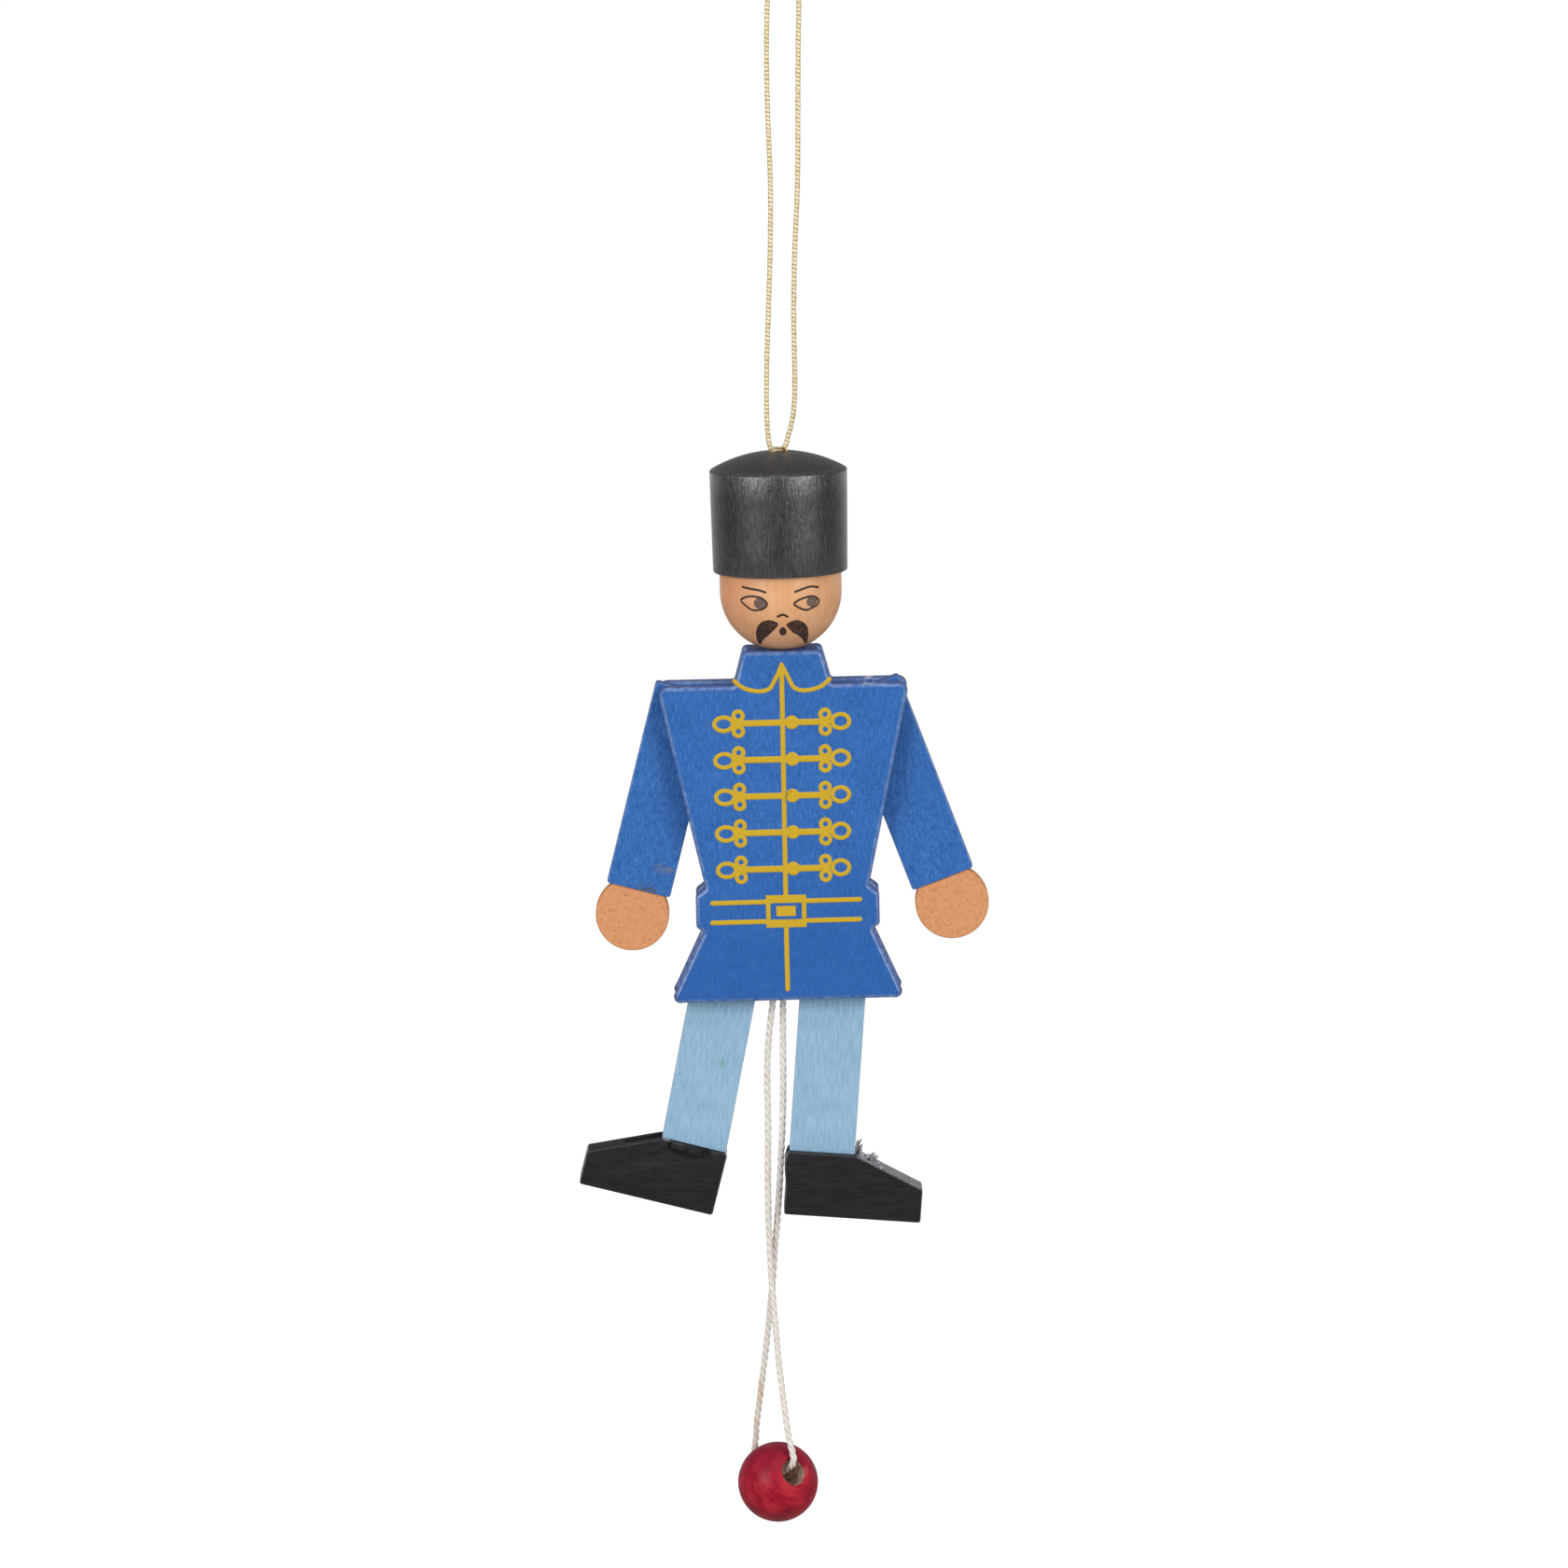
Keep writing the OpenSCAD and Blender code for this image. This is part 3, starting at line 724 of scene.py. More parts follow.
class Bench:
    """The workbench: modelling steps that every piece shares."""

    @staticmethod
    def clear() -> None:
        """Leaves edit mode and deselects everything."""
        if bpy.context.object and bpy.context.object.mode != "OBJECT":
            bpy.ops.object.mode_set(mode="OBJECT")
        bpy.ops.object.select_all(action="DESELECT")

    @staticmethod
    def take(name: str) -> bpy.types.Object:
        """Names the piece that was just added, and gives it."""
        piece = bpy.context.object
        piece.name = piece.data.name = name
        return piece

    @staticmethod
    def pick(piece: bpy.types.Object) -> None:
        """Selects one piece alone and makes it active."""
        Bench.clear()
        piece.select_set(True)
        bpy.context.view_layer.objects.active = piece

    @staticmethod
    def edit() -> None:
        """Opens the active piece in edit mode with all of it selected."""
        bpy.ops.object.mode_set(mode="EDIT")
        bpy.ops.mesh.select_all(action="SELECT")

    @staticmethod
    def close(smooth: float = 0.0) -> None:
        """Turns the open piece's faces outwards and leaves edit mode.

        Args:
            smooth: Largest angle that is shaded smooth, in degrees, or zero for flat faces.
        """
        bpy.ops.mesh.select_all(action="SELECT")
        bpy.ops.mesh.normals_make_consistent(inside=False)
        bpy.ops.object.mode_set(mode="OBJECT")
        if smooth:
            bpy.ops.object.shade_smooth_by_angle(angle=math.radians(smooth))

    @staticmethod
    def link(name: str, data: bpy.types.ID) -> bpy.types.Object:
        """Puts a new mesh, curve, lamp or camera in the scene."""
        item = bpy.data.objects.new(name, data)
        bpy.context.scene.collection.objects.link(item)
        return item

    @staticmethod
    def write(mesh: bpy.types.Mesh, name: str, values: Iterable[float]) -> None:
        """Writes a number at each point, for a finish to read by the attribute's name."""
        for target, value in zip(mesh.attributes.new(name, "FLOAT", "POINT").data, values):
            target.value = value

    @staticmethod
    def pick_edges(piece: bpy.types.Object, wanted: Callable[[bmesh.types.BMEdge], bool]) -> int:
        """Selects edges in edit mode.

        Args:
            piece: The piece, in edit mode.
            wanted: Says whether an edge is selected.

        Returns:
            How many edges are selected.
        """
        bpy.ops.mesh.select_mode(type="EDGE")
        bpy.ops.mesh.select_all(action="DESELECT")
        mesh = bmesh.from_edit_mesh(piece.data)
        count = 0
        for edge in mesh.edges:
            if wanted(edge):
                edge.select_set(True)
                count += 1
        bmesh.update_edit_mesh(piece.data)
        return count

    @staticmethod
    def ring(name: str, points: Sequence[Vector], filled: bool) -> bpy.types.Object:
        """Starts a piece from a circle whose corners are drawn out to an outline.

        Args:
            name: Name of the piece.
            points: The outline's corners in metres.
            filled: Whether the outline gets a face.

        Returns:
            The piece, selected in object mode.
        """
        Bench.clear()
        bpy.ops.mesh.primitive_circle_add(
            vertices=len(points), radius=MM, fill_type="NGON" if filled else "NOTHING"
        )
        piece = Bench.take(name)
        for vertex, point in zip(piece.data.vertices, points):
            vertex.co = point
        return piece

    @staticmethod
    def sharp(edge: bmesh.types.BMEdge, least: float) -> bool:
        """Tells whether an edge between two faces turns by more than an angle in degrees."""
        return len(edge.link_faces) == 2 and edge.calc_face_angle(0.0) > math.radians(least)

    @staticmethod
    def even_normals(piece: bpy.types.Object) -> None:
        """Makes a piece's faces point outwards and its shading follow the large faces."""
        Bench.pick(piece)
        Bench.edit()
        Bench.close(SMOOTH)
        weighted = piece.modifiers.new("even shading", "WEIGHTED_NORMAL")
        weighted.keep_sharp = True
        bpy.ops.object.modifier_apply(modifier=weighted.name)

    @staticmethod
    def plate(
        name: str, outline: Sequence[Vector], front: float, thick: float, soften: float,
        cuts: Iterable[bpy.types.Object] = (),
    ) -> bpy.types.Object:
        """Saws a plate, cuts its holes and sands its edges.

        Args:
            name: Name of the piece.
            outline: Corners in metres, at the plate's front.
            front: Depth of the plate's front in mm.
            thick: Thickness in mm.
            soften: Rounding of the edges in mm.
            cuts: Pieces that are cut away.

        Returns:
            The plate.
        """
        flat = [Vector((p.x, front * MM, p.z)) for p in outline]
        piece = Bench.ring(name, flat, True)
        Bench.edit()
        bpy.ops.mesh.extrude_region_move(TRANSFORM_OT_translate={"value": (0.0, thick * MM, 0.0)})
        Bench.close()
        for cut in cuts:
            Bench.cut(piece, cut)
        Bench.pick(piece)
        Bench.edit()
        faces = (front * MM, (front + thick) * MM)
        Bench.pick_edges(
            piece, lambda e: Bench.sharp(e, CORNER) and Bench.on_outline(e, flat, faces)
        )
        bpy.ops.mesh.bevel(offset=soften * MM, segments=4, profile=0.5, affect="EDGES")
        bpy.ops.object.mode_set(mode="OBJECT")
        Bench.even_normals(piece)
        Bench.mark_edges(piece, faces, soften)
        return piece

    @staticmethod
    def on_outline(
        edge: bmesh.types.BMEdge, outline: Sequence[Vector], faces: tuple[float, float]
    ) -> bool:
        """Tells whether an edge belongs to a plate's outline, and not to a hole.

        Args:
            edge: The edge.
            outline: The outline's corners.
            faces: Depths of the plate's two faces.

        Returns:
            True where both ends are corners of the outline.
        """
        near = 1e-6
        return all(
            any(abs(v.co.x - p.x) < near and abs(v.co.z - p.z) < near for p in outline)
            and min(abs(v.co.y - f) for f in faces) < near
            for v in edge.verts
        )

    @staticmethod
    def mark_edges(piece: bpy.types.Object, faces: tuple[float, float], soften: float) -> None:
        """Writes where a plate's edges are rounded between its faces, for wear, painted highlight
        and gloss.
        """
        depths = [min(abs(v.co.y - f) for f in faces) / (soften * MM) for v in piece.data.vertices]
        Bench.write(piece.data, "edge", (1.0 if 0.02 < d < 0.98 else 0.0 for d in depths))

    @staticmethod
    def cut(piece: bpy.types.Object, tool: bpy.types.Object) -> None:
        """Cuts one piece away from another and removes the tool.

        Args:
            piece: The piece that is cut.
            tool: The piece that is cut away.
        """
        Bench.pick(piece)
        boolean = piece.modifiers.new("cut", "BOOLEAN")
        boolean.operation = "DIFFERENCE"
        boolean.solver = "EXACT"
        boolean.object = tool
        bpy.ops.object.modifier_apply(modifier=boolean.name)
        bpy.data.objects.remove(tool)

    @staticmethod
    def drill(spot: Vector, diameter: float, length: float) -> bpy.types.Object:
        """Makes a drill along the depth.

        Args:
            spot: Middle of the hole in metres.
            diameter: Diameter in mm.
            length: Length in mm.

        Returns:
            The drill, to be cut away.
        """
        Bench.clear()
        bpy.ops.mesh.primitive_cylinder_add(
            vertices=32, radius=diameter / 2 * MM, depth=length * MM, location=spot,
            rotation=(math.radians(90), 0.0, 0.0),
        )
        return Bench.take("drill")

    @staticmethod
    def turn(
        name: str, profile: Sequence[Point2], closed: bool, steps: int = 96, smooth: float = 40.0,
    ) -> bpy.types.Object:
        """Turns a piece on the lathe, about the Z axis.

        Args:
            name: Name of the piece.
            profile: Radius and height of the profile's points in mm.
            closed: Whether the profile joins up by itself, away from the axis.
            steps: Sides of the turned piece.
            smooth: Largest angle that is shaded smooth, in degrees.

        Returns:
            The piece.
        """
        points = [Vector((r * MM, 0.0, h * MM)) for r, h in profile]
        piece = Bench.ring(name, points, False)
        bpy.ops.object.mode_set(mode="EDIT")
        if not closed:
            ends = {0, len(points) - 1}
            Bench.pick_edges(piece, lambda e: {v.index for v in e.verts} == ends)
            bpy.ops.mesh.delete(type="EDGE")
        bpy.ops.mesh.select_mode(type="VERT")
        bpy.ops.mesh.select_all(action="SELECT")
        bpy.ops.mesh.spin(steps=steps, angle=math.tau, center=(0.0, 0.0, 0.0), axis=(0.0, 0.0, 1.0))
        bpy.ops.mesh.select_all(action="SELECT")
        bpy.ops.mesh.remove_doubles(threshold=1e-6)
        Bench.close(smooth)
        return piece

    @staticmethod
    def copy(piece: bpy.types.Object, name: str) -> bpy.types.Object:
        """Copies a piece with its own mesh.

        Args:
            piece: The piece to copy.
            name: Name of the copy.

        Returns:
            The copy.
        """
        twin = piece.copy()
        twin.data = piece.data.copy()
        twin.name = twin.data.name = name
        bpy.context.scene.collection.objects.link(twin)
        return twin

    @staticmethod
    def settle(piece: bpy.types.Object, matrix: Matrix) -> None:
        """Moves the mesh of a piece that was made about the origin to its place."""
        piece.data.transform(matrix)
        piece.data.update()

    @staticmethod
    def join(pieces: Sequence[bpy.types.Object], name: str) -> bpy.types.Object:
        """Joins pieces into one.

        Args:
            pieces: The pieces.
            name: Name of the result.

        Returns:
            The joined piece.
        """
        Bench.clear()
        for piece in pieces:
            piece.select_set(True)
        bpy.context.view_layer.objects.active = pieces[0]
        bpy.ops.object.join()
        return Bench.take(name)

    @staticmethod
    def dress(
        piece: bpy.types.Object, body: str, slot: str, material: bpy.types.Material, *nodes: str,
    ) -> bpy.types.Object:
        """Gives a piece its finish and its place in the toy.

        Args:
            piece: The piece.
            body: Body that it rides on.
            slot: Name of a material slot; not used.
            material: Its finish.
            nodes: CAD nodes that it stands for.

        Returns:
            The piece.
        """
        piece.data.materials.clear()
        piece.data.materials.append(material)
        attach(piece, body)
        if nodes:
            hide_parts(*nodes)
        LOG.info("%s: %d faces on %s", piece.name, len(piece.data.polygons), body)
        return piece


def rounded(points: Sequence[Point2], radii: Sequence[float], steps: int = 6) -> list[Point2]:
    """Rounds the corners of an outline.

    Args:
        points: The sharp corners in mm.
        radii: Radius of each corner in mm, or zero.
        steps: Steps of each rounding.

    Returns:
        The outline's points.
    """
    result: list[Point2] = []
    count = len(points)
    for index, radius in enumerate(radii):
        corner = Vector(points[index])
        if radius == 0:
            result.append(tuple(corner))
            continue
        back = (Vector(points[index - 1]) - corner).normalized()
        ahead = (Vector(points[(index + 1) % count]) - corner).normalized()
        half = back.angle(ahead) / 2
        middle = corner + (back + ahead).normalized() * radius / math.sin(half)
        start = corner + back * radius / math.tan(half) - middle
        end = corner + ahead * radius / math.tan(half) - middle
        for step in range(steps + 1):
            share = step / steps
            arm = start.slerp(end, share)
            result.append(tuple(middle + arm.normalized() * radius))
    return result


def outline_at(points: Sequence[Point2]) -> list[Vector]:
    """Puts figure points, in mm, in the frame, in metres."""
    return [place(x, 0.0, z) for x, z in points]


class Route:
    """The line that a cord follows."""

    def __init__(self, points: Sequence[Sequence[float]], step: float) -> None:
        """Draws a smooth line of even steps through the route's points.

        Args:
            points: Places in mm, in the frame.
            step: Length of a step in mm.
        """
        rough = self.curved([Vector(p) for p in points])
        self.points = self.even(rough, step)
        self.length = sum((b - a).length for a, b in zip(self.points, self.points[1:]))

    @staticmethod
    def curved(points: Sequence[Vector]) -> list[Vector]:
        """Rounds a route off between its points.

        Args:
            points: The route's points.

        Returns:
            Many points on a smooth line.
        """
        padded = [2 * points[0] - points[1], *points, 2 * points[-1] - points[-2]]
        result: list[Vector] = []
        for a, b, c, d in zip(padded, padded[1:], padded[2:], padded[3:]):
            knots = [0.0]
            for p, q in ((a, b), (b, c), (c, d)):
                knots.append(knots[-1] + math.sqrt((q - p).length))
            for number in range(CURVE_STEPS):
                t = knots[1] + (knots[2] - knots[1]) * number / CURVE_STEPS
                layer = [a, b, c, d]
                for width in (1, 2, 3):
                    spans = zip(knots, knots[width:]) if width < 3 else (knots[1:3],)
                    layer = [
                        p.lerp(q, (t - low) / (high - low))
                        for p, q, (low, high) in zip(layer, layer[1:], spans)
                    ]
                result.append(layer[0])
        result.append(points[-1].copy())
        return result

    @staticmethod
    def even(points: Sequence[Vector], step: float) -> list[Vector]:
        """Steps along a line evenly.

        Args:
            points: The line.
            step: Length of a step.

        Returns:
            Points a step apart, with both ends.
        """
        total = sum((b - a).length for a, b in zip(points, points[1:]))
        count = max(2, round(total / step))
        result = [points[0].copy()]
        walked, target = 0.0, total / count
        for a, b in zip(points, points[1:]):
            part = (b - a).length
            while part > 0 and walked + part >= target - 1e-9 and len(result) < count:
                result.append(a.lerp(b, (target - walked) / part))
                target += total / count
            walked += part
        result.append(points[-1].copy())
        return result

    def frames(self) -> list[tuple[Vector, Vector]]:
        """Gives two side directions at each point, turned as little as possible.

        Returns:
            Pairs of unit vectors square to the line.
        """
        result = []
        side = Vector((0.0, 1.0, 0.0))
        for index in range(len(self.points)):
            ahead = self.points[min(index + 1, len(self.points) - 1)]
            way = (ahead - self.points[max(index - 1, 0)]).normalized()
            side = (side - way * side.dot(way)).normalized()
            result.append((side, way.cross(side)))
        return result


def cord_piece(
    name: str, vertices: Sequence[Vector], sunk: Sequence[float], tubes: int, sides: int,
    step: float,
) -> bpy.types.Object:
    """Covers a cord's rings of points, with its strand coordinates and grooves.

    Args:
        name: Name of the piece.
        vertices: Rings of points in metres, one tube after another.
        sunk: How deep in a groove each point is.
        tubes: Number of tubes.
        sides: Sides of a tube.
        step: Distance between two rings in mm.

    Returns:
        The cord.
    """
    faces: list[tuple[int, ...]] = []
    uvs: list[Point2] = []
    rings = len(vertices) // (tubes * sides)
    for tube in range(tubes):
        start = tube * rings * sides
        for ring in range(rings - 1):
            for side in range(sides):
                low, after = start + ring * sides, (side + 1) % sides
                high = low + sides
                faces.append((low + side, low + after, high + after, high + side))
                uvs += [
                    ((side + across) / sides + tube, (ring + along) * step)
                    for across, along in ((0, 0), (1, 0), (1, 1), (0, 1))
                ]
        for ring, order in ((0, -1), (rings - 1, 1)):
            first = start + ring * sides
            faces.append(tuple(range(first, first + sides))[::order])
            uvs += [(tube, ring * step)] * sides
    mesh = bpy.data.meshes.new(name)
    mesh.from_pydata(vertices, [], faces)
    mesh.update()
    for target, uv in zip(mesh.uv_layers.new(name="strand").data, uvs):
        target.uv = uv
    Bench.write(mesh, "sunk", sunk)
    mesh.shade_smooth()
    return Bench.link(name, mesh)


@dataclass(frozen=True)
class Rope:
    """How a cord is laid up from its strands."""

    strands: int
    strand_r: float
    offset: float
    lead: float
    sides: int = 8
    uneven: float = 0.06

    @property
    def diameter(self) -> float:
        """The cord's diameter over all in mm."""
        return 2 * (self.offset + self.strand_r)

    def build(self, name: str, route: Route) -> bpy.types.Object:
        """Winds the strands about a route.

        Args:
            name: Name of the piece.
            route: The line that the cord follows.

        Returns:
            The cord as a mesh.
        """
        frames = route.frames()
        step = route.length / (len(route.points) - 1)
        vertices: list[Vector] = []
        sunk: list[float] = []
        for strand in range(self.strands):
            for index, (point, (side, up)) in enumerate(zip(route.points, frames)):
                walked = index * step
                phase = math.tau * (strand / self.strands - walked / self.lead)
                radius = self.strand_r * (
                    1 + self.uneven * math.sin(walked * 1.7 + strand * 2.1)
                    * math.sin(walked * 0.53 + strand)
                )
                out = side * math.cos(phase) + up * math.sin(phase)
                middle = point + out * self.offset
                across = out.cross(side.cross(up))
                for corner in range(self.sides):
                    angle = math.tau * corner / self.sides
                    arm = out * math.cos(angle) + across * math.sin(angle)
                    vertices.append((middle + arm * radius) * MM)
                    # How deep in the groove a point lies, for the painted shade: the side of a
                    # strand that faces the others
                    sunk.append(max(0.0, -math.cos(angle) * 0.9 + 0.05))
        return cord_piece(name, vertices, sunk, self.strands, self.sides, step)


@dataclass(frozen=True)
class WrappedCord:
    """A round cord wrapped in one flat thread, which leaves a groove at each turn."""

    diameter: float
    pitch: float
    groove: float = 0.15
    groove_share: float = 0.13
    sides: int = 14

    def build(self, name: str, route: Route) -> bpy.types.Object:
        """Wraps the cord about a route.

        Args:
            name: Name of the piece.
            route: The line that the cord follows.

        Returns:
            The cord as a mesh.
        """
        step = route.length / (len(route.points) - 1)
        vertices: list[Vector] = []
        sunk: list[float] = []
        for index, (point, (side, up)) in enumerate(zip(route.points, route.frames())):
            walked = index * step
            swell = 1 + 0.05 * math.sin(walked * 2.3) * math.sin(walked * 0.71 + 1.0)
            for corner in range(self.sides):
                angle = math.tau * corner / self.sides
                turn = (corner / self.sides + walked / self.pitch) % 1.0
                near = min(turn, 1 - turn) / self.groove_share
                depth = math.exp(-near * near)
                arm = side * math.cos(angle) + up * math.sin(angle)
                radius = self.diameter / 2 * swell * (1 - self.groove * depth)
                vertices.append((point + arm * radius) * MM)
                sunk.append(depth)
        return cord_piece(name, vertices, sunk, 1, self.sides, step)


GOLD_CORD = WrappedCord(diameter=0.66, pitch=0.52, groove_share=0.11)
COTTON_ROPE = Rope(strands=3, strand_r=0.25, offset=0.2, lead=3.2)
THREAD_ROPE = Rope(strands=2, strand_r=0.11, offset=0.09, lead=1.1, sides=6)

# The fourth colour of each yarn below is its painted shade in the grooves
GOLD_THREAD = Yarn(
    "gold_lame_cord", "F1DFB3", "D8BD88", "FDF5E0", "76592F", roughness=0.45, metallic=0.15,
    fibre_share=0.3, fibre_run=0.35, sheen=0.0,
)
COTTON = Yarn(
    "undyed_cotton_string", "E9E3DA", "D8CFC3", "F3EFE9", "C6BDB0",
    # Painted bounce light: a warm patch low on the left strand, from the red bead beside it
    marks=(Mark(-5.6, -54.0, 3.4, 24.0, 8.0, "D8A987", 0.6),),
)


def trefoil(centre: Vector, size: float, squash: float, turn: Euler) -> list[Vector]:
    """Draws the line of a tight overhand knot.

    Args:
        centre: Middle of the knot in mm.
        size: Radius of its line in mm.
        squash: Height of the knot over its width.
        turn: How the knot is turned.

    Returns:
        Points of the line, closed but for a short gap.
    """
    result = []
    for step in range(KNOT_STEPS - 1):
        t = math.tau * step / KNOT_STEPS
        point = Vector((
            (math.sin(t) + 2 * math.sin(2 * t)) / 3,
            (math.cos(t) - 2 * math.cos(2 * t)) / 3,
            -math.sin(3 * t) * squash,
        ))
        point.rotate(turn)
        result.append(centre + point * size)
    return result


@dataclass
class Studio:
    """Camera, lamps and floor."""

    distance: float = 960.0
    pitch: float = 9.0
    roll: float = 1.25
    lens: float = 171.4
    aim: Point3 = (-2.13, -3.9, -106.7)
    floor_z: float = -330.0
    room: float = 0.46
    front_gleam: float = 0.22
    back_gleam: float = 0.35
    gleam_from: float = 0.8
    floor_glow: float = 0.6

    def build(self) -> None:
        """Sets the camera, lamps, floor and backdrop."""
        self.set_camera()
        self.set_world()
        self.set_lamps()
        self.set_floor()

    def set_camera(self) -> None:
        """Puts the camera where the photograph was taken from."""
        tilt = math.radians(self.pitch)
        back = Vector((0.0, -math.cos(tilt), math.sin(tilt)))
        data = bpy.data.cameras.new("camera")
        data.lens = self.lens
        data.sensor_width = 36.0
        data.clip_start = 0.05
        data.clip_end = 60.0
        camera = Bench.link("camera", data)
        turn = (-back).to_track_quat("-Z", "Y").to_matrix().to_4x4()
        spin = Matrix.Rotation(math.radians(-self.roll), 4, "Z")
        spot = Vector(self.aim) * MM + back * self.distance * MM
        camera.matrix_world = Matrix.Translation(spot) @ turn @ spin
        bpy.context.scene.camera = camera

    def set_world(self) -> None:
        """Sets a soft room light, white to the camera and dim behind the camera."""
        world = bpy.data.worlds.new("white_room")
        bpy.context.scene.world = world
        add = start_nodes(world)
        camera = add("LightPath", out="Is Camera Ray")
        through = add("LightPath", out="Is Transmission Ray")
        seen = add("Math", {0: camera, 1: through}, operation="MAXIMUM")
        plain = add("Mix", {0: seen, 2: self.room, 3: 1.0}, data_type="FLOAT")
        facing = add("TexCoord", out="Generated")
        depth = add("SeparateXYZ", {0: facing}, "Y")
        backdrop = add("MapRange",
            {
                "Value": depth, "From Min": self.gleam_from, "From Max": 1.0,
                "To Min": self.front_gleam, "To Max": self.back_gleam,
            },
            interpolation_type="SMOOTHSTEP",
        )
        glossy = add("LightPath", out="Is Glossy Ray")
        strength = add("Mix", {0: glossy, 2: plain, 3: backdrop}, data_type="FLOAT")
        light = add("Background", {"Color": "FFFFFF", "Strength": strength})
        add("OutputWorld", {"Surface": light})

    def set_lamps(self) -> None:
        """Sets two upright soft boxes in front and one above."""
        middle = Vector((-2.0, 0.0, -115.0)) * MM
        for name, spot, size, power in (
            ("left_box", (-640.0, -740.0, 200.0), (0.4, 0.7), 4.8),
            ("right_box", (650.0, -740.0, 180.0), (0.42, 0.7), 4.95),
            ("top_box", (0.0, -300.0, 780.0), (0.6, 0.6), 0.9),
        ):
            data = bpy.data.lights.new(name, "AREA")
            data.shape = "RECTANGLE"
            data.size, data.size_y = size
            data.energy = power
            lamp = Bench.link(name, data)
            lamp.visible_camera = False
            lamp.location = Vector(spot) * MM
            lamp.rotation_euler = (middle - lamp.location).to_track_quat("-Z", "Y").to_euler()

    def set_floor(self) -> None:
        """Lays a pale floor far below the figure, which far away is as white as the room."""
        Bench.clear()
        bpy.ops.mesh.primitive_plane_add(size=8.0, location=(0.0, 3.4, self.floor_z * MM))
        floor = Bench.take("floor")
        bpy.ops.object.transform_apply(location=True, rotation=True, scale=True)
        material = bpy.data.materials.new("white_paper_floor")
        add = start_nodes(material)
        camera = add("LightPath", out="Is Camera Ray")
        glossy = add("LightPath", out="Is Glossy Ray")
        source = add("TexCoord", out="Object")
        behind = add("SeparateXYZ", {0: source}, "Y")
        behind = add("MapRange", {"Value": behind, "From Min": 0.8, "From Max": 1.8})
        mirrored = add("Math", {0: glossy, 1: behind}, operation="MULTIPLY")
        seen = add("Math", {0: camera, 1: mirrored}, operation="MAXIMUM")
        apart = add("VectorMath", {0: source}, "Value", operation="LENGTH")
        near = add("MapRange", {"Value": apart, "From Min": 1.6, "From Max": 0.7})
        paper = add("Mix", {0: near, 6: "000000", 7: "F7F7F7"}, 2, data_type="RGBA")
        paper = add("Mix", {0: seen, 6: "A8A8A8", 7: paper}, 2, data_type="RGBA")
        sheet = add("BsdfPrincipled",
            {"Base Color": paper, "Roughness": 0.9, "Specular IOR Level": 0.1},
        )
        level = add("MapRange", {"Value": near, "To Min": 1.0, "To Max": self.floor_glow})
        glow = add("Emission", {"Strength": level})
        both = add("AddShader", {0: sheet, 1: glow})
        mix = add("MixShader", {0: seen, 1: sheet, 2: both})
        add("OutputMaterial", {"Surface": mix})
        floor.data.materials.append(material)


